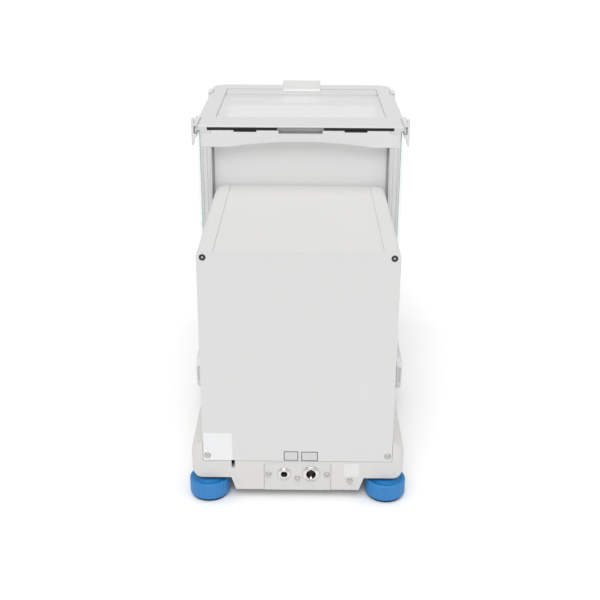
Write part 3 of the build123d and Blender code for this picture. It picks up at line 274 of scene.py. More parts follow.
# The slit in each grip, left by the tool's slide, is closed just below its mouth.
slit_middle, slit_width, slit_z, slit_height = 3.5 * MM, 2.5 * MM, 54.8 * MM, 18.8 * MM
inlay_sunk, inlay_depth = 1.2 * MM, 2.0 * MM
for side, outwards in (("left", -1), ("right", 1)):
    low, high = (Vector(corner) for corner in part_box(f"{side}_door_grip"))
    outer = max(high.x, -low.x)
    work = bmesh.new()
    bmesh.ops.create_cube(work, size=1.0)
    for corner in work.verts:
        corner.co = Vector(
            (
                outwards * (outer - slit_middle + corner.co.x * slit_width),
                high.y - inlay_sunk - inlay_depth / 2 + corner.co.y * inlay_depth,
                slit_z + corner.co.z * slit_height,
            )
        )
    bmesh.ops.recalc_face_normals(work, faces=work.faces)
    inlay = piece_of(f"{side}_door_grip_inlay", work, hook_plastic)
    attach(inlay, f"{side}_door")
eased("hook_port_plug", "hook_port_plug_moulded", hook_plastic, 0.3 * MM)

# ---------------------------------------------------------------- glass
# Doors, roof door and front pane are 3 mm float glass, cut and ground on their rims, where the
# green of the glass shows. The big faces are clear.


def clear_glass(name, tint, painted_reflection):
    """The big faces of a sheet: see-through, mirroring as glass does at each angle, with a share of white
    diffuse as painted reflection.
    """
    made, shader, place = material_of(name, {"Base Color": (*tint, 1.0), "Roughness": 0.03})
    tree = made.node_tree
    see = tree.nodes.new("ShaderNodeBsdfTransparent")
    see.inputs["Color"].default_value = (*tint, 1.0)
    gloss = tree.nodes.new("ShaderNodeBsdfGlossy")
    gloss.inputs["Roughness"].default_value = 0.02
    film = place.noise(18.0, 3.0)
    mirror_share = place.node("ShaderNodeFresnel", {"IOR": 1.5})
    inside = place.node("ShaderNodeNewGeometry", {}, output=6)
    share = mirror_share * (1.5 + film * 0.3) * (1.0 - inside)
    mix = tree.nodes.new("ShaderNodeMixShader")
    tree.links.new(share.socket, mix.inputs[0])
    tree.links.new(see.outputs[0], mix.inputs[1])
    tree.links.new(gloss.outputs[0], mix.inputs[2])
    # The white diffuse share is painted reflection of the studio lights on the glass.
    painted_reflection_layer = tree.nodes.new("ShaderNodeBsdfDiffuse")
    painted_reflection_layer.inputs["Color"].default_value = (0.86, 0.862, 0.86, 1.0)
    painted_reflection_layered = tree.nodes.new("ShaderNodeMixShader")
    ((film * 0.1 + 0.95) * painted_reflection).feed(painted_reflection_layered, 0)
    tree.links.new(mix.outputs[0], painted_reflection_layered.inputs[1])
    tree.links.new(painted_reflection_layer.outputs[0], painted_reflection_layered.inputs[2])
    tree.links.new(painted_reflection_layered.outputs[0], tree.nodes["Material Output"].inputs["Surface"])
    tree.nodes.remove(shader)
    return made


def glass_rim(name):
    """The polished rim of a sheet: mostly see-through, with the pale green of the glass."""
    made, shader, place = material_of(name, {"Roughness": 0.2, "Specular IOR Level": 0.5})
    tree = made.node_tree
    marks = place.stretched(900.0, 900.0, 60.0).noise(1.0, 2.0)
    marks.blend((0.60, 0.70, 0.67), (0.74, 0.82, 0.79)).feed(shader, "Base Color")
    see = tree.nodes.new("ShaderNodeBsdfTransparent")
    see.inputs["Color"].default_value = (0.95, 0.975, 0.965, 1.0)
    mix = tree.nodes.new("ShaderNodeMixShader")
    (marks * 0.2 + 0.25).feed(mix, 0)
    tree.links.new(see.outputs[0], mix.inputs[1])
    tree.links.new(shader.outputs[0], mix.inputs[2])
    tree.links.new(mix.outputs[0], tree.nodes["Material Output"].inputs["Surface"])
    return made


def shade_strip_finish(name, colour):
    """Black, rubber-like finish for the pieces that paint shade in the slot and notches."""
    made, shader, place = material_of(name, {"Specular IOR Level": 0.25})
    bloom = place.stretched(60.0, 900.0, 900.0).noise(1.0, 2.0)
    bloom.blend(shade(colour, 0.8), shade(colour, 1.4)).feed(shader, "Base Color")
    (0.6 + bloom * 0.2).feed(shader, "Roughness")
    bloom.bump(shader, 0.3, 0.03 * MM)
    return made


pane_glass = clear_glass("clear_float_glass", (0.975, 0.988, 0.984), 0.0)
# The roof door's glass carries a share of white diffuse: painted reflection of the lights above it.
roof_glass = clear_glass("roof_door_glass", (0.955, 0.96, 0.958), 0.55)
rim_glass = glass_rim("ground_glass_rim")
# A black finish for the strips and blocks that paint shade in the slot and notches.
painted_shade_rubber = shade_strip_finish("roof_door_painted_shade", (0.03, 0.03, 0.032))


def pane(node, name, normal_axis, arris, face_glass, kept_back=0.0):
    """A glass sheet with its arrises taken off, clear on its two faces and green on its rim."""
    low, high = (Vector(corner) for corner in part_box(node))
    high.y -= kept_back
    work = bmesh.new()
    bmesh.ops.create_cube(work, size=1.0)
    middle, size = (low + high) / 2, high - low
    for corner in work.verts:
        corner.co = middle + Vector(a * b for a, b in zip(corner.co, size))
    bmesh.ops.bevel(
        work, geom=work.edges[:], offset=arris, segments=2, profile=0.5, affect="EDGES", clamp_overlap=True
    )
    work.normal_update()
    for face in work.faces:
        face.material_index = 0 if abs(face.normal[normal_axis]) > 0.99 else 1
    piece = piece_of(name, work, face_glass, rim_glass)
    stand_in(piece, node)
    return piece


pane("front_pane", "front_pane_glass", 1, 0.35 * MM, pane_glass)
pane("left_door_glass", "left_door_sheet", 0, 0.35 * MM, pane_glass)
pane("right_door_glass", "right_door_sheet", 0, 0.35 * MM, pane_glass)
shade_strip_depth = 1.6 * MM
pane("top_door_glass", "top_door_sheet", 2, 0.35 * MM, roof_glass, shade_strip_depth)

# ---------------------------------------------------------------- roof door rim strips
# Black strips along the rear rim of the roof glass paint the shade inside the frame's rear slot.
# In the middle a dark grey block paints the shade on the floor of the frame's central recess.


def rim_strips(name, spans, top_gap, front_gap, material):
    """Strips along the rear rim of the roof glass."""
    low, high = (Vector(corner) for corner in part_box("top_door_glass"))
    work = bmesh.new()
    for left, right in spans:
        made = bmesh.ops.create_cube(work, size=1.0)["verts"]
        lowest = Vector((left, high.y - shade_strip_depth - 0.2 * MM, low.z + 0.05 * MM))
        highest = Vector((right, high.y - front_gap, high.z - top_gap))
        for corner in made:
            corner.co = (lowest + highest) / 2 + Vector(a * b for a, b in zip(corner.co, highest - lowest))
    bmesh.ops.bevel(work, geom=work.edges[:], offset=0.25 * MM, segments=2, profile=0.5, affect="EDGES")
    piece = piece_of(name, work, material)
    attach(piece, "top_door")
    return piece


rim_low, rim_high = (Vector(corner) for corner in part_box("top_door_glass"))
recess_shade_half = 27.0 * MM
# Black strips that paint the shade inside the rear slot.
rim_strips(
    "top_door_seal",
    [(rim_low.x + 0.5 * MM, -recess_shade_half - 0.2 * MM), (recess_shade_half + 0.2 * MM, rim_high.x - 0.5 * MM)],
    0.05 * MM,
    0.02 * MM,
    painted_shade_rubber,
)
# A dark grey block that paints the shade in the central recess.
recess_shade_plastic = moulded("door_recess_shade_plastic", (0.36, 0.36, 0.36), 1800.0, 0.5)
rim_strips("top_door_clip", [(-recess_shade_half, recess_shade_half)], 0.05 * MM, 0.02 * MM, recess_shade_plastic)

# Two black blocks sit in the lintel's notches and paint the shade inside them.
channel_bottom = rim_low.z - 0.4 * MM
lintel_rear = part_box("rear_lintel")[1][1]
notch_shade_x, notch_shade_width, notch_shade_depth, notch_shade_height = 64.25 * MM, 26.1 * MM, 5.2 * MM, 1.4 * MM
work = bmesh.new()
for outwards in (-1, 1):
    for corner in bmesh.ops.create_cube(work, size=1.0)["verts"]:
        corner.co = Vector(
            (
                outwards * notch_shade_x + corner.co.x * notch_shade_width,
                lintel_rear - 0.6 * MM + (corner.co.y - 0.5) * notch_shade_depth,
                channel_bottom - 0.1 * MM + (corner.co.z - 0.5) * notch_shade_height,
            )
        )
bmesh.ops.bevel(work, geom=work.edges[:], offset=0.2 * MM, segments=2, profile=0.5, affect="EDGES")
# The blocks' black is painted shade for the notches.
notch_shades = piece_of("lintel_dampers", work, painted_shade_rubber)
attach(notch_shades, "base")

# ---------------------------------------------------------------- roof door handle
# A flat moulded bar glued across the front of the roof glass, with an upright tab for two fingers.


def handle_finish(name, bar, tab):
    """Moulded plastic whose tab, above the frame's top, is a little lighter than the bar."""
    made, shader, place = material_of(name, {"Specular IOR Level": 0.46})
    grains = place.noise(1000.0, 2.0)
    height = place.node("ShaderNodeSeparateXYZ", {"Vector": place}, output=2)
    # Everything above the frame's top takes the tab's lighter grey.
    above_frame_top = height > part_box("top_frame")[1][2] + 0.2 * MM
    above_frame_top.blend(bar, tab).feed(shader, "Base Color")
    (0.45 + (grains - 0.5) * 0.14).feed(shader, "Roughness")
    grains.bump(shader, 0.4, 0.03 * MM)
    return made


handle_plastic = handle_finish("handle_plastic", (0.655, 0.656, 0.655), (0.78, 0.778, 0.765))
eased("top_door_handle", "top_door_handle_moulded", handle_plastic, 0.3 * MM)

# ---------------------------------------------------------------- connector plate
# A small steel plate in the cast recess, coated like the panel, that carries the two sockets.
plate_coat = powder_coat("plate_powder_coat", (0.655, 0.65, 0.635), 1700.0, 0.42, 0.03 * MM)
eased("connector_plate", "connector_plate_coated", plate_coat, 0.3 * MM)

# ---------------------------------------------------------------- sockets
# The jack's and the socket's rings are turned brass, nickel plated. The bores are black, with a
# steel pin in the jack and eight gilt pins in the display socket.


def turned_metal(name, colour, roughness, marks):
    """Plated metal with the rings that turning leaves, seen along its own axis, Y."""
    made, shader, place = material_of(name, {"Metallic": 1.0})
    rings = place.noise(marks, 2.0)
    rings.blend(shade(colour, 0.9), colour).feed(shader, "Base Color")
    (roughness + rings * 0.12).feed(shader, "Roughness")
    rings.bump(shader, 0.15, 0.01 * MM)
    return made


def black_plastic(name, colour, roughness):
    """Insulating plastic, near black, with a fine grain."""
    made, shader, place = material_of(name, {"Specular IOR Level": 0.4})
    grains = place.noise(2600.0, 2.0)
    grains.blend(shade(colour, 0.8), shade(colour, 1.3)).feed(shader, "Base Color")
    (roughness + (grains - 0.5) * 0.15).feed(shader, "Roughness")
    grains.bump(shader, 0.3, 0.02 * MM)
    return made


nickel = turned_metal("plated_nickel", (0.78, 0.765, 0.74), 0.16, 1600.0)
# The gilt is darkened far below gold: painted shade for pins that sit deep in the bore.
pin_gold_painted_shade = turned_metal("pin_gold_painted_shade_pins", (0.30, 0.26, 0.19), 0.3, 2400.0)
insulator = black_plastic("socket_insulator", (0.018, 0.018, 0.02), 0.45)


def lathe(work, centre, profile, steps, index):
    """Adds a turned shape about an axis along Y. The profile lists (radius, y) round its outline."""
    rings = []
    for radius, y in profile:
        ring = []
        for step in range(steps):
            angle = 2 * pi * step / steps
            x, z = centre[0] + radius * cos(angle), centre[1] + radius * sin(angle)
            ring.append(work.verts.new((x, y, z)))
        rings.append(ring)
    for inner, outer in zip(rings, rings[1:]):
        for step in range(steps):
            after = (step + 1) % steps
            face = work.faces.new((inner[step], inner[after], outer[after], outer[step]))
            face.material_index = index
            face.smooth = True


def socket_ring(work, node, ring_r, proud, bore_r, depth):
    """A closed domed ring on a threaded body, with its bore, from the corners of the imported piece."""
    low, high = (Vector(corner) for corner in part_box(node))
    centre = ((low.x + high.x) / 2, (low.z + high.z) / 2)
    front = high.y
    back = front - depth
    foot = front - proud
    edge = 0.45 * MM
    outline = [
        (bore_r, back),
        (ring_r * 0.79, back),
        (ring_r * 0.79, foot),
        (ring_r - edge * 0.3, foot),
        (ring_r, foot + edge * 0.4),
        (ring_r, front - edge * 2.1),
        (ring_r - edge * 0.5, front - edge),
        (ring_r - edge * 1.6, front - edge * 0.35),
        (ring_r - edge * 2.6, front - edge * 0.15),
        (ring_r - edge * 2.9, front - edge * 0.75),
        (ring_r - edge * 3.3, front - edge * 0.75),
        (ring_r - edge * 3.6, front),
        (bore_r + edge, front),
        (bore_r + edge * 0.3, front - edge * 0.3),
        (bore_r, front - edge),
    ]
    lathe(work, centre, outline + outline[:1], 64, 0)
    return centre, front


def turned_piece(name, work, node, *materials):
    """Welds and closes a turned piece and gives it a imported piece's place."""
    bmesh.ops.remove_doubles(work, verts=work.verts, dist=0.001 * MM)
    bmesh.ops.recalc_face_normals(work, faces=work.faces)
    stand_in(piece_of(name, work, *materials), node)


axis_r = 0.02 * MM
jack_bore, jack_proud, jack_ring_r, jack_depth = 3.45 * MM, 1.6 * MM, 7.1 * MM, 15.5 * MM
work = bmesh.new()
jack_centre, jack_front = socket_ring(work, "power_jack", jack_ring_r, jack_proud, jack_bore, jack_depth)
jack_floor = jack_front - jack_depth
liner_r = jack_bore - 0.03 * MM
liner_lip = jack_front - 0.9 * MM
liner_floor = jack_floor + 1.0 * MM
liner = [
    (axis_r, jack_floor + 0.2 * MM),
    (liner_r, jack_floor + 0.2 * MM),
    (liner_r, liner_lip),
    (liner_r - 0.25 * MM, liner_lip - 0.1 * MM),
    (liner_r - 0.3 * MM, liner_floor),
    (axis_r, liner_floor),
]
lathe(work, jack_centre, liner, 48, 1)
pin_r, pin_front = 1.0 * MM, jack_front - 4.5 * MM
pin = [
    (pin_r, jack_floor + 0.9 * MM),
    (pin_r, pin_front - 0.4 * MM),
    (pin_r * 0.7, pin_front - 0.1 * MM),
    (axis_r, pin_front),
]
lathe(work, jack_centre, pin, 24, 0)
turned_piece("power_jack_turned", work, "power_jack", nickel, insulator)

# Keyways at the top and bottom of the display socket's ring: its front is pressed back there.
socket_bore, socket_proud, socket_ring_r, socket_depth = 5.1 * MM, 1.8 * MM, 9.1 * MM, 15.7 * MM
keyway_half, keyway_reach, keyway_depth = 1.35 * MM, 8.2 * MM, 1.3 * MM
work = bmesh.new()
socket_centre, socket_front = socket_ring(
    work, "display_socket", socket_ring_r, socket_proud, socket_bore, socket_depth
)
for corner in work.verts:
    across, up = corner.co.x - socket_centre[0], corner.co.z - socket_centre[1]
    if abs(across) < keyway_half and hypot(across, up) < keyway_reach:
        corner.co.y = min(corner.co.y, socket_front - keyway_depth)
turned_piece("display_socket_turned", work, "display_socket", nickel)

# The insert's face carries the pins: one in the middle and seven round a circle.
insert_low, insert_high = (Vector(corner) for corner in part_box("display_socket_insert"))
insert_face = insert_high.y - 1.4 * MM
insert_r = (insert_high.x - insert_low.x) / 2
dish_floor = insert_face - 0.25 * MM
insert_outline = [
    (axis_r, insert_low.y),
    (insert_r, insert_low.y),
    (insert_r, insert_face - 0.3 * MM),
    (insert_r - 0.3 * MM, insert_face),
    (insert_r * 0.8, insert_face),
    (insert_r * 0.78, dish_floor),
    (axis_r, dish_floor),
]
round_pins, pin_circle_r = 7, 3.1 * MM
work = bmesh.new()
lathe(work, socket_centre, insert_outline, 64, 0)
pin_spots = [(0.0, 0.0)]
for n in range(round_pins):
    angle = 2 * pi * n / round_pins
    pin_spots.append((pin_circle_r * cos(angle), pin_circle_r * sin(angle)))
contact = [
    (0.5 * MM, insert_face - 0.5 * MM),
    (0.5 * MM, insert_high.y - 0.3 * MM),
    (0.32 * MM, insert_high.y - 0.05 * MM),
    (0.01 * MM, insert_high.y),
]
for across, up in pin_spots:
    lathe(work, (socket_centre[0] + across, socket_centre[1] + up), contact, 16, 1)
turned_piece("display_socket_pins", work, "display_socket_insert", insulator, pin_gold_painted_shade)

# ---------------------------------------------------------------- screws
# Four countersunk screws hold the rear panel: blackened above, zinc below. Three zinc cross-head
# screws hold the connector plate, and a slotted one is the earth terminal.


def screw_shape(name, head_r, head_height, shank_r, shank, drive, material):
    """One screw along +Z with its head's underside at 0. drive gives the recess depth at (x, y)."""
    work = bmesh.new()
    rings, steps = 22, 72
    edge = 0.22 * head_r
    heights = []
    for ring in range(rings + 1):
        radius = head_r * ring / rings
        row = []
        for step in range(steps):
            angle = 2 * pi * step / steps
            x, y = radius * cos(angle), radius * sin(angle)
            over = max(0.0, radius - head_r + edge) / edge
            dome = head_height * (1.0 - 0.12 * (radius / head_r) ** 2 - 0.45 * over**2.2)
            row.append(work.verts.new((x, y, dome - drive(x, y))))
        heights.append(row)
    for inner, outer in zip(heights, heights[1:]):
        for step in range(steps):
            after = (step + 1) % steps
            work.faces.new((inner[step], outer[step], outer[after], inner[after])).smooth = True
    outer = heights[-1]
    for radius, z in ((head_r, 0.0), (shank_r, 0.0), (shank_r, -shank), (shank_r * 0.4, -shank - 0.3 * MM)):
        ring = [
            work.verts.new((radius * cos(2 * pi * s / steps), radius * sin(2 * pi * s / steps), z))
            for s in range(steps)
        ]
        for step in range(steps):
            after = (step + 1) % steps
            work.faces.new((outer[step], ring[step], ring[after], outer[after])).smooth = True
        outer = ring
    work.faces.new(outer)
    bmesh.ops.remove_doubles(work, verts=work.verts, dist=0.0005 * MM)
    bmesh.ops.recalc_face_normals(work, faces=work.faces)
    shape = piece_of(name, work, material)
    return shape


def soft_edge(distance, blur):
    """1 well inside an outline, 0 well outside, with a short slope between."""
    return 1.0 / (1.0 + exp(-max(-40.0, min(40.0, distance / blur))))


def cross_drive(length, width, depth):
    """A cross recess with tapering arms."""

    def recess(x, y):
        arm = max(
            min(width - abs(x), length - abs(y)),
            min(width - abs(y), length - abs(x)),
            0.45 * length - hypot(x, y),
        )
        return depth * soft_edge(arm, 0.05 * MM) * (1.0 - 0.45 * hypot(x, y) / length)

    return recess


def hex_drive(radius, depth):
    """A hexagon socket."""

    def recess(x, y):
        flats = max(abs(x * cos(n * pi / 3) + y * sin(n * pi / 3)) for n in range(3))
        return depth * soft_edge(radius - flats, 0.05 * MM)

    return recess


def slot_drive(width, depth):
    """A straight slot right across the head."""

    def recess(x, y):
        return depth * soft_edge(width - abs(x), 0.04 * MM)

    return recess


def screw_metal(name, colour, dark, roughness):
    """Plated or blackened steel, mottled at random between a darker and a brighter tone."""
    made, shader, place = material_of(name, {"Metallic": 1.0})
    marks = place.noise(1400.0, 3.0)
    stain = place.noise(420.0, 2.0)
    (marks * 0.6 + stain * 0.4).blend(dark, colour).feed(shader, "Base Color")
    (roughness + marks * 0.2).feed(shader, "Roughness")
    marks.bump(shader, 0.2, 0.02 * MM)
    return made


zinc = screw_metal("zinc_plate", (0.74, 0.73, 0.70), (0.45, 0.44, 0.42), 0.24)
blackened = screw_metal("blackened_steel", (0.10, 0.10, 0.105), (0.03, 0.03, 0.032), 0.3)


def screw_tree(name):
    """Sets a screw on each point of a mesh, pointing along +Y and turned by its own chance angle."""
    tree = bpy.data.node_groups.new(name, "GeometryNodeTree")
    sockets = (
        ("Geometry", "NodeSocketGeometry"),
        ("Screw", "NodeSocketObject"),
        ("Finish", "NodeSocketMaterial"),
        ("Most Turn", "NodeSocketFloat"),
    )
    for label, kind in sockets:
        tree.interface.new_socket(label, in_out="INPUT", socket_type=kind)
    tree.interface.new_socket("Geometry", in_out="OUTPUT", socket_type="NodeSocketGeometry")
    nodes, links = tree.nodes, tree.links
    given, result = nodes.new("NodeGroupInput"), nodes.new("NodeGroupOutput")
    chosen = nodes.new("GeometryNodeObjectInfo")
    chance = nodes.new("FunctionNodeRandomValue")
    chance.inputs["Seed"].default_value = 11
    turn = nodes.new("ShaderNodeCombineXYZ")
    aim = nodes.new("FunctionNodeRotateRotation")
    spread = nodes.new("GeometryNodeInstanceOnPoints")
    real = nodes.new("GeometryNodeRealizeInstances")
    paint = nodes.new("GeometryNodeSetMaterial")
    aim.rotation_space = "LOCAL"
    aim.inputs[0].default_value = (-pi / 2, 0.0, 0.0)
    links.new(given.outputs["Screw"], chosen.inputs["Object"])
    links.new(given.outputs["Most Turn"], chance.inputs[3])
    links.new(chance.outputs[1], turn.inputs["Z"])
    links.new(turn.outputs[0], aim.inputs[1])
    links.new(given.outputs["Geometry"], spread.inputs["Points"])
    links.new(chosen.outputs["Geometry"], spread.inputs["Instance"])
    links.new(aim.outputs[0], spread.inputs["Rotation"])
    links.new(spread.outputs[0], real.inputs[0])
    links.new(real.outputs[0], paint.inputs["Geometry"])
    links.new(given.outputs["Finish"], paint.inputs["Material"])
    links.new(paint.outputs[0], result.inputs[0])
    return tree


screw_setter = screw_tree("screw_setter")


def set_screws(name, shape, spots, material, most_turn):
    """A group of like screws at the given points, as one plain mesh."""
    mesh = bpy.data.meshes.new(name)
    mesh.from_pydata(spots, [], [])
    group = bpy.data.objects.new(name, mesh)
    bpy.context.scene.collection.objects.link(group)
    setter = group.modifiers.new("screws", "NODES")
    setter.node_group = screw_setter
    values = {"Screw": shape, "Finish": material, "Most Turn": most_turn}
    for item in screw_setter.interface.items_tree:
        if item.in_out == "INPUT" and item.name in values:
            setter[item.identifier] = values[item.name]
    settled(group)
    return group


panel_low, panel_high = (Vector(corner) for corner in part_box("rear_panel_screws"))
panel_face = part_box("rear_panel")[1][1]
head_seat = panel_face - 1.2 * MM
upper_x, lower_x = 93.6 * MM, 95.3 * MM
upper_z, lower_z = panel_high.z - 3.1 * MM, panel_low.z + 3.1 * MM
black_screw = screw_shape(
    "black_screw", 3.1 * MM, 1.6 * MM, 1.5 * MM, 9.0 * MM, hex_drive(1.15 * MM, 1.0 * MM), blackened
)
panel_screw = screw_shape(
    "panel_screw", 3.1 * MM, 1.6 * MM, 1.5 * MM, 9.0 * MM, cross_drive(1.9 * MM, 0.36 * MM, 0.9 * MM), zinc
)
upper = set_screws(
    "panel_screws_upper",
    black_screw,
    [(side * upper_x, head_seat, upper_z) for side in (-1, 1)],
    blackened,
    0.8,
)
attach(upper, "base")
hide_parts("rear_panel_screws")
key_floor = screw_shape(
    "key_floor", 1.12 * MM, 0.12 * MM, 0.9 * MM, 0.2 * MM, hex_drive(0.5 * MM, 0.03 * MM), zinc
)
bright = set_screws(
    "panel_screw_key_floors",
    key_floor,
    [(side * upper_x, head_seat + 0.75 * MM, upper_z) for side in (-1, 1)],
    zinc,
    0.8,
)
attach(bright, "base")
bpy.data.objects.remove(key_floor)
lower = set_screws(
    "panel_screws_lower",
    panel_screw,
    [(side * lower_x, head_seat, lower_z) for side in (-1, 1)],
    zinc,
    0.6,
)
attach(lower, "base")

plate_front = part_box("connector_plate")[1][1]
plate_low, plate_high = (Vector(corner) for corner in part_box("connector_plate_screws"))
side_z, mid_z = plate_high.z - 3.15 * MM, plate_low.z + 3.15 * MM
side_x = plate_high.x - 3.15 * MM
plate_screw = screw_shape(
    "plate_screw", 3.15 * MM, 1.7 * MM, 1.25 * MM, 5.0 * MM, cross_drive(2.2 * MM, 0.4 * MM, 1.1 * MM), zinc
)
plate_spots = [(-side_x, plate_front, side_z), (0.0, plate_front, mid_z), (side_x, plate_front, side_z)]
plate_screws = set_screws("plate_screws", plate_screw, plate_spots, zinc, 0.5)
stand_in(plate_screws, "connector_plate_screws")

earth_low, earth_high = (Vector(corner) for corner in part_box("ground_screw"))
earth_screw = screw_shape(
    "earth_screw", 3.1 * MM, 2.2 * MM, 2.0 * MM, 5.0 * MM, slot_drive(0.42 * MM, 0.9 * MM), zinc
)
earth_spot = ((earth_low.x + earth_high.x) / 2, earth_high.y - 2.2 * MM, (earth_low.z + earth_high.z) / 2)
earth = set_screws("earth_screw_set", earth_screw, [earth_spot], zinc, 0.0)
stand_in(earth, "ground_screw")
for shape in (black_screw, panel_screw, plate_screw, earth_screw):
    bpy.data.objects.remove(shape)

# ---------------------------------------------------------------- labels
# Self-adhesive foils with rounded corners and nothing written on them. The two over the sockets
# have a thin printed frame, which is left in.


def foil_finish(name, colour, roughness):
    """Plastic label foil: smooth, slightly uneven where it is rubbed down."""
    made, shader, place = material_of(name, {"Specular IOR Level": 0.5, "Coat Weight": 0.15})
    ripple = place.noise(160.0, 2.0)
    fibre = place.noise(1800.0, 2.0)
    fibre.blend(shade(colour, 0.98), colour).feed(shader, "Base Color")
    (roughness + ripple * 0.12).feed(shader, "Roughness")
    (ripple + fibre * 0.1).bump(shader, 0.2, 0.03 * MM)
    return made


white_foil = foil_finish("white_foil", (0.79, 0.795, 0.80), 0.3)
pale_foil = foil_finish("pale_foil", (0.60, 0.605, 0.605), 0.35)
clear_foil = foil_finish("seal_foil", (0.73, 0.73, 0.722), 0.28)
print_ink = foil_finish("printed_frame", (0.055, 0.06, 0.062), 0.4)


def rounded_outline(low_x, high_x, low_z, high_z, radius, steps=6):
    """Corner points of a rounded rectangle in the XZ plane."""
    points = []
    corners = (
        (high_x - radius, high_z - radius, 0),
        (low_x + radius, high_z - radius, 1),
        (low_x + radius, low_z + radius, 2),
        (high_x - radius, low_z + radius, 3),
    )
    for centre_x, centre_z, quarter in corners:
        for step in range(steps + 1):
            angle = pi / 2 * (quarter + step / steps)
            points.append((centre_x + radius * cos(angle), centre_z + radius * sin(angle)))
    return points


def slab(work, outline, back, front, index):
    """A closed flat piece between two depths, its front face towards +Y."""
    near = [work.verts.new((x, front, z)) for x, z in outline]
    far = [work.verts.new((x, back, z)) for x, z in outline]
    faces = [work.faces.new(near), work.faces.new(far[::-1])]
    for n in range(len(outline)):
        m = (n + 1) % len(outline)
        faces.append(work.faces.new((near[n], far[n], far[m], near[m])))
    for face in faces:
        face.material_index = index


eased("rating_label", "rating_label_foil", white_foil, 0.06 * MM)
eased("seal_sticker", "seal_sticker_foil", clear_foil, 0.06 * MM)

foil_low, foil_high = (Vector(corner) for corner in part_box("socket_labels"))
foil_height, foil_corner_r = 11.8 * MM, 0.5 * MM
jack_label = (-1.0 * MM, foil_high.x, foil_high.z - foil_height, foil_high.z)
socket_label = (foil_low.x, -3.6 * MM, foil_low.z, foil_low.z + foil_height)
line, inset, ink, ink_corner_r = 0.75 * MM, 0.35 * MM, 0.03 * MM, 0.02 * MM
work = bmesh.new()
for low_x, high_x, low_z, high_z in (jack_label, socket_label):
    foil_outline = rounded_outline(low_x, high_x, low_z, high_z, foil_corner_r)
    slab(work, foil_outline, foil_low.y, foil_high.y - ink, 0)
    x0, x1, z0, z1 = low_x + inset, high_x - inset, low_z + inset, high_z - inset
    for a, b, c, d in (
        (x0, x1, z1 - line, z1),
        (x0, x1, z0, z0 + line),
        (x0, x0 + line, z0 + line, z1 - line),
        (x1 - line, x1, z0 + line, z1 - line),
    ):
        slab(work, rounded_outline(a, b, c, d, ink_corner_r, 2), foil_high.y - ink, foil_high.y, 1)
bmesh.ops.recalc_face_normals(work, faces=work.faces)
socket_foils = piece_of("socket_label_foils", work, pale_foil, print_ink)
stand_in(socket_foils, "socket_labels")

# ---------------------------------------------------------------- levelling feet
# A bright blue hand wheel with broad soft ribs, moulded round a steel stud, on a rubber pad.


def blue_moulding(name, colour):
    """Glossy coloured plastic with the faint grain and sink marks of a thick moulding."""
    made, shader, place = material_of(name, {"Specular IOR Level": 0.5, "IOR": 1.5})
    grains = place.noise(1700.0, 2.0)
    sink = place.noise(70.0, 2.0)
    sink.blend(shade(colour, 0.93), shade(colour, 1.06)).feed(shader, "Base Color")
    (0.36 + (grains - 0.5) * 0.14 + (sink - 0.5) * 0.06).feed(shader, "Roughness")
    (grains * 0.4 + sink).bump(shader, 0.25, 0.05 * MM)
    return made


def rubber(name, colour):
    """Black rubber with a dull bloom."""
    made, shader, place = material_of(name, {"Specular IOR Level": 0.3})
    bloom = place.noise(240.0, 4.0)
    bloom.blend(shade(colour, 0.8), shade(colour, 1.7)).feed(shader, "Base Color")
    (0.68 + bloom * 0.2).feed(shader, "Roughness")
    bloom.bump(shader, 0.4, 0.08 * MM)
    return made


wheel_blue = blue_moulding("blue_hand_wheel", (0.018, 0.205, 0.52))
pad_rubber = rubber("foot_rubber", (0.022, 0.022, 0.024))
stud_steel = turned_metal("stud_steel", (0.62, 0.62, 0.61), 0.28, 900.0)
rib_total, rib_height, rib_points = 32, 0.8 * MM, 8
stud_r, stem_bore_r, stem_bore_depth = 4.0 * MM, 6.06 * MM, 4.4 * MM


def level_ring(work, centre, radius, z, steps, rib=0.0):
    """A ring of corners about a vertical axis. rib is how far it draws in between the ribs' crests."""
    ring = []
    for step in range(steps):
        angle = 2 * pi * step / steps
        crest = abs(cos(rib_total * angle / 2)) ** 0.8
        reach = radius - rib * (1.0 - crest)
        ring.append(work.verts.new((centre.x + reach * cos(angle), centre.y + reach * sin(angle), z)))
    return ring


def skin(work, rings, index_of):
    """Joins rings with smooth faces. index_of gives the material for each pair of rings."""
    for number, (inner, outer) in enumerate(zip(rings, rings[1:])):
        for step in range(len(inner)):
            after = (step + 1) % len(inner)
            face = work.faces.new((inner[step], inner[after], outer[after], outer[step]))
            face.smooth = True
            face.material_index = index_of(number)
    work.faces.new(rings[0]).material_index = index_of(0)
    work.faces.new(rings[-1]).material_index = index_of(len(rings))
    bmesh.ops.recalc_face_normals(work, faces=work.faces)


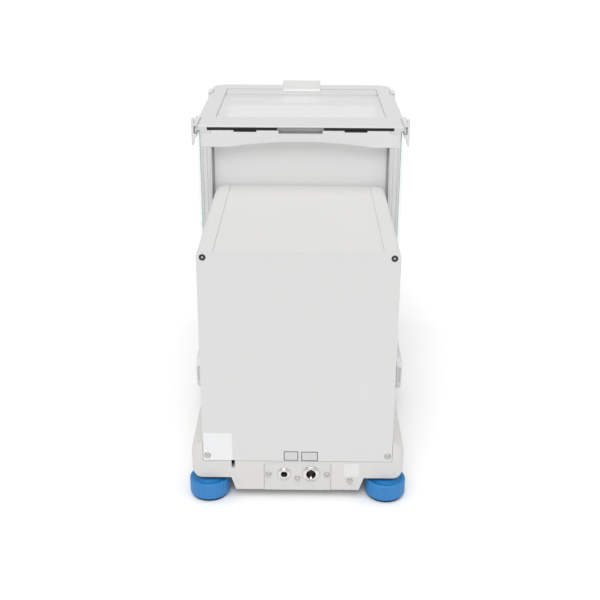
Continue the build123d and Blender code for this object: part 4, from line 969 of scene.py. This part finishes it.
def hand_wheel(name, centre, low, wheel_top, top, rim_r):
    """A ribbed wheel, bored below for the pad's stem, with its stud above. All faces look outwards."""
    work = bmesh.new()
    steps = rib_total * rib_points
    height = wheel_top - low
    round_below, round_above, groove = 3.0 * MM, 1.4 * MM, 0.5 * MM
    # Radius, height above the wheel's underside, and the share of the ribs' full height.
    profile = [
        (stem_bore_r, stem_bore_depth, 0.0),
        (stem_bore_r, 0.0, 0.0),
        (rim_r - 4.0 * MM, 0.0, 0.0),
    ]
    for step in range(7):
        angle = pi / 2 * step / 6
        radius = rim_r - round_below + round_below * sin(angle)
        profile.append((radius, round_below * (1 - cos(angle)), 0.35 + 0.65 * step / 6))
    profile.append((rim_r, height * 0.5, 1.0))
    for step in range(5):
        angle = pi / 2 * step / 4
        radius = rim_r - round_above + round_above * cos(angle)
        profile.append((radius, height - round_above + round_above * sin(angle), 1.0 - 0.25 * step))
    profile += [
        (rim_r - 3.2 * MM, height, 0.0),
        (rim_r - 3.6 * MM, height - groove, 0.0),
        (rim_r - 9.0 * MM, height - groove, 0.0),
        (rim_r - 9.6 * MM, height, 0.0),
        (stud_r + 2.2 * MM, height, 0.0),
        (stud_r, height, 0.0),
    ]
    rings = [level_ring(work, centre, r, low + z, steps, share * rib_height) for r, z, share in profile]
    # The stud's thread is a stack of shallow rings.
    stud_start = len(rings)
    pitch, thread_depth = 1.25 * MM, 0.35 * MM
    thread = ((stud_r - thread_depth, 0.3), (stud_r, 0.5), (stud_r, 0.62), (stud_r - thread_depth, 0.9))
    z = wheel_top
    while z < top - 1.2 * MM:
        rings += [level_ring(work, centre, radius, z + rise * pitch, steps) for radius, rise in thread]
        z += pitch
    rings.append(level_ring(work, centre, stud_r - 0.8 * MM, top, steps))
    skin(work, rings, lambda number: 1 if number >= stud_start - 1 else 0)
    return piece_of(name, work, wheel_blue, stud_steel)


def foot_pad(name, centre, low, high, pad_r, pad_height, stem_r):
    """A rubber pad with a rounded foot, three grip rings below and a stem that clips into the wheel."""
    work = bmesh.new()
    sole_round, brim = 1.2 * MM, 0.5 * MM
    profile = [(axis_r, 0.0)]
    for groove in (6.0 * MM, 10.0 * MM, 14.0 * MM):
        profile += [
            (groove - 0.7 * MM, 0.0),
            (groove - brim, brim),
            (groove + brim, brim),
            (groove + 0.7 * MM, 0.0),
        ]
    for step in range(6):
        angle = pi / 2 * step / 5
        profile.append((pad_r - sole_round + sole_round * sin(angle), sole_round * (1 - cos(angle))))
    profile += [
        (pad_r, pad_height - brim),
        (pad_r - brim, pad_height),
        (stem_r, pad_height),
        (stem_r, high - low - 0.4 * MM),
        (stem_r - 0.4 * MM, high - low),
        (axis_r, high - low),
    ]
    skin(work, [level_ring(work, centre, r, low + z, 72) for r, z in profile], lambda number: 0)
    return piece_of(name, work, pad_rubber)


wheel_height, pad_height, stem_r = 18.6 * MM, 2.2 * MM, 6.0 * MM
for corner_name in ("rear_right", "rear_left", "front_right", "front_left"):
    wheel_low, wheel_high = (Vector(corner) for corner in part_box(f"{corner_name}_foot_wheel"))
    axis = (wheel_low + wheel_high) / 2
    wheel = hand_wheel(
        f"{corner_name}_hand_wheel",
        axis,
        wheel_low.z,
        wheel_low.z + wheel_height,
        wheel_high.z,
        (wheel_high.x - wheel_low.x) / 2,
    )
    stand_in(wheel, f"{corner_name}_foot_wheel")
    pad_low, pad_high = (Vector(corner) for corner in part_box(f"{corner_name}_foot_pad"))
    pad = foot_pad(
        f"{corner_name}_rubber_pad",
        axis,
        pad_low.z,
        pad_high.z,
        (pad_high.x - pad_low.x) / 2,
        pad_height,
        stem_r,
    )
    stand_in(pad, f"{corner_name}_foot_pad")
brass = turned_metal("turned_brass", (0.80, 0.62, 0.30), 0.26, 800.0)
coat("foot_bushes", brass)

# ---------------------------------------------------------------- weighing chamber floor
# A loose stainless tray, a draft ring and the pan, all ground in one direction, and a bubble level.


def brushed(name, colour, roughness, along):
    """Stainless sheet with fine grinding lines along one axis."""
    made, shader, place = material_of(name, {"Metallic": 1.0})
    lines = place.stretched(*along).noise(1.0, 3.0)
    smudge = place.noise(24.0, 3.0)
    lines.blend(shade(colour, 0.86), colour).feed(shader, "Base Color")
    (roughness + lines * 0.14 + smudge * 0.06).feed(shader, "Roughness")
    lines.bump(shader, 0.18, 0.01 * MM)
    return made


tray_steel = brushed("ground_tray", (0.70, 0.70, 0.69), 0.24, (40.0, 2600.0, 2600.0))
pan_steel = brushed("ground_pan", (0.74, 0.74, 0.73), 0.18, (2600.0, 40.0, 2600.0))
eased("chamber_floor", "chamber_floor_tray", tray_steel, 0.3 * MM)
eased("draft_ring", "draft_ring_spun", pan_steel, 0.2 * MM)
eased("weighing_pan", "weighing_pan_spun", pan_steel, 0.25 * MM)
coat("adjustment_weight", pan_steel)
eased("level_cup", "level_cup_moulded", hook_plastic, 0.2 * MM)


def spirit(name):
    """The vial's green spirit under its cap, with a darker ring and the pale bubble in the middle."""
    made, shader, place = material_of(
        name, {"Roughness": 0.06, "Specular IOR Level": 0.6, "Coat Weight": 0.6, "Coat Roughness": 0.03}
    )
    low, high = (Vector(corner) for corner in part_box("level_vial"))
    middle = (low + high) / 2
    from_middle = place.node(
        "ShaderNodeVectorMath", {0: place, 1: (middle.x, middle.y, high.z)}, output=1, operation="DISTANCE"
    )
    ripple = place.noise(300.0, 2.0)
    bubble = from_middle < 2.3 * MM
    ring = (from_middle > 3.1 * MM) * (from_middle < 3.5 * MM)
    liquid = ripple.blend((0.45, 0.66, 0.12), (0.56, 0.76, 0.20))
    marked = ring.blend(liquid, (0.05, 0.07, 0.03))
    bubble.blend(marked, (0.80, 0.90, 0.55)).feed(shader, "Base Color")
    return made


coat("level_vial", spirit("level_spirit"))

# ---------------------------------------------------------------- weighing cell
# Milled aluminium arms and frame, a nickelled magnet pot with its copper coil, a small geared motor
# that lowers the adjustment weight, and the circuit board. All of it sits under the hood.
milled = brushed("milled_aluminium", (0.80, 0.81, 0.82), 0.3, (1200.0, 60.0, 1200.0))
plated_iron = turned_metal("plated_iron", (0.60, 0.61, 0.62), 0.3, 700.0)
for node in ("cell_frame", "load_arm", "receiver", "lower_guide", "upper_guide", "lever"):
    coat(node, milled)
for node in ("weight_cradle", "motor_bracket"):
    coat(node, milled)
for node in ("magnet_pot", "adjustment_spindle"):
    coat(node, plated_iron)


def winding(name):
    """Enamelled copper wire, laid turn on turn, with painted shade darkening the grooves between turns."""
    made, shader, place = material_of(name, {"Metallic": 1.0})
    wire_ridges_and_painted_shade = place.node(
        "ShaderNodeTexWave",
        {"Vector": place, "Scale": 900.0, "Distortion": 0.4, "Detail": 1.0},
        output=1,
        bands_direction="Z",
    )
    # The dark bands between the turns are painted shade.
    wire_ridges_and_painted_shade.blend((0.30, 0.12, 0.05), (0.80, 0.40, 0.20)).feed(shader, "Base Color")
    (0.25 + wire_ridges_and_painted_shade * 0.15).feed(shader, "Roughness")
    wire_ridges_and_painted_shade.bump(shader, 0.5, 0.1 * MM)
    return made


def solder_mask(name):
    """Green board with copper runs that show through the mask."""
    made, shader, place = material_of(name, {"Specular IOR Level": 0.5, "Coat Weight": 0.3})
    bricks = place.node(
        "ShaderNodeTexBrick",
        {
            "Vector": place, "Scale": 160.0, "Mortar Size": 0.03,
            "Color1": (0.0, 0.0, 0.0, 1.0), "Color2": (0.0, 0.0, 0.0, 1.0), "Mortar": (1.0, 1.0, 1.0, 1.0),
        },
    )
    weave = place.noise(600.0, 2.0)
    board = weave.blend((0.012, 0.10, 0.045), (0.018, 0.14, 0.06))
    bricks.blend(board, (0.05, 0.26, 0.11)).feed(shader, "Base Color")
    (0.32 + weave * 0.15).feed(shader, "Roughness")
    return made


coat("force_coil", winding("copper_winding"))
coat("main_board", solder_mask("board_mask"))
cell_plastic = black_plastic("cell_plastic", (0.03, 0.03, 0.033), 0.5)
for node in ("position_sensor", "adjustment_motor"):
    coat(node, cell_plastic)

# ---------------------------------------------------------------- studio
# A seamless white table top under a bright tent, with a large soft light above and a fill from
# behind the camera.
studio = bpy.context.scene
studio.view_settings.view_transform = "Standard"
studio.world = bpy.data.worlds.new("tent")
studio.world.use_nodes = True
tent = studio.world.node_tree.nodes["Background"]
tent.inputs["Color"].default_value = (1.0, 1.0, 1.0, 1.0)
tent.inputs["Strength"].default_value = 0.52

table_half = 30.0
work = bmesh.new()
bmesh.ops.create_grid(work, x_segments=1, y_segments=1, size=table_half)
table_white, table_shader, table_place = material_of(
    "table_white", {"Roughness": 0.9, "Specular IOR Level": 0.1}
)
wear = table_place.noise(0.4, 2.0)
wear.blend((0.955, 0.955, 0.955), (0.965, 0.965, 0.965)).feed(table_shader, "Base Color")
table = piece_of("table_top", work, table_white)


def far_light(name, height, heading, spread, strength):
    """A very soft light from far away: height above the table and heading round it, in degrees."""
    lamp = bpy.data.lights.new(name, "SUN")
    lamp.angle = radians(spread)
    lamp.energy = strength
    holder = bpy.data.objects.new(name, lamp)
    studio.collection.objects.link(holder)
    from_there = Vector(
        (
            cos(radians(height)) * sin(radians(heading)),
            cos(radians(height)) * cos(radians(heading)),
            sin(radians(height)),
        )
    )
    holder.rotation_euler = (-from_there).to_track_quat("-Z", "Y").to_euler()


far_light("rear_softbox", 48.0, 6.0, 36.0, 1.05)
far_light("ceiling", 84.0, 0.0, 60.0, 1.25)

# ---------------------------------------------------------------- camera
# A short telephoto lens above and behind the unit, square on to its rear panel.
camera_data = bpy.data.cameras.new("camera")
camera_data.sensor_width = 36.0
camera_data.lens = 58.25
camera_data.clip_end = 100.0
camera = bpy.data.objects.new("camera", camera_data)
studio.collection.objects.link(camera)
camera.rotation_mode = "QUATERNION"
heading, tilt, roll = radians(180.335), radians(67.452), radians(0.2923)
turn = Euler((tilt, 0.0, heading), "XYZ").to_quaternion() @ Euler((0.0, 0.0, roll)).to_quaternion()
camera.rotation_quaternion = turn
camera.location = (-0.00689, 1.12784, 0.59842)
studio.camera = camera
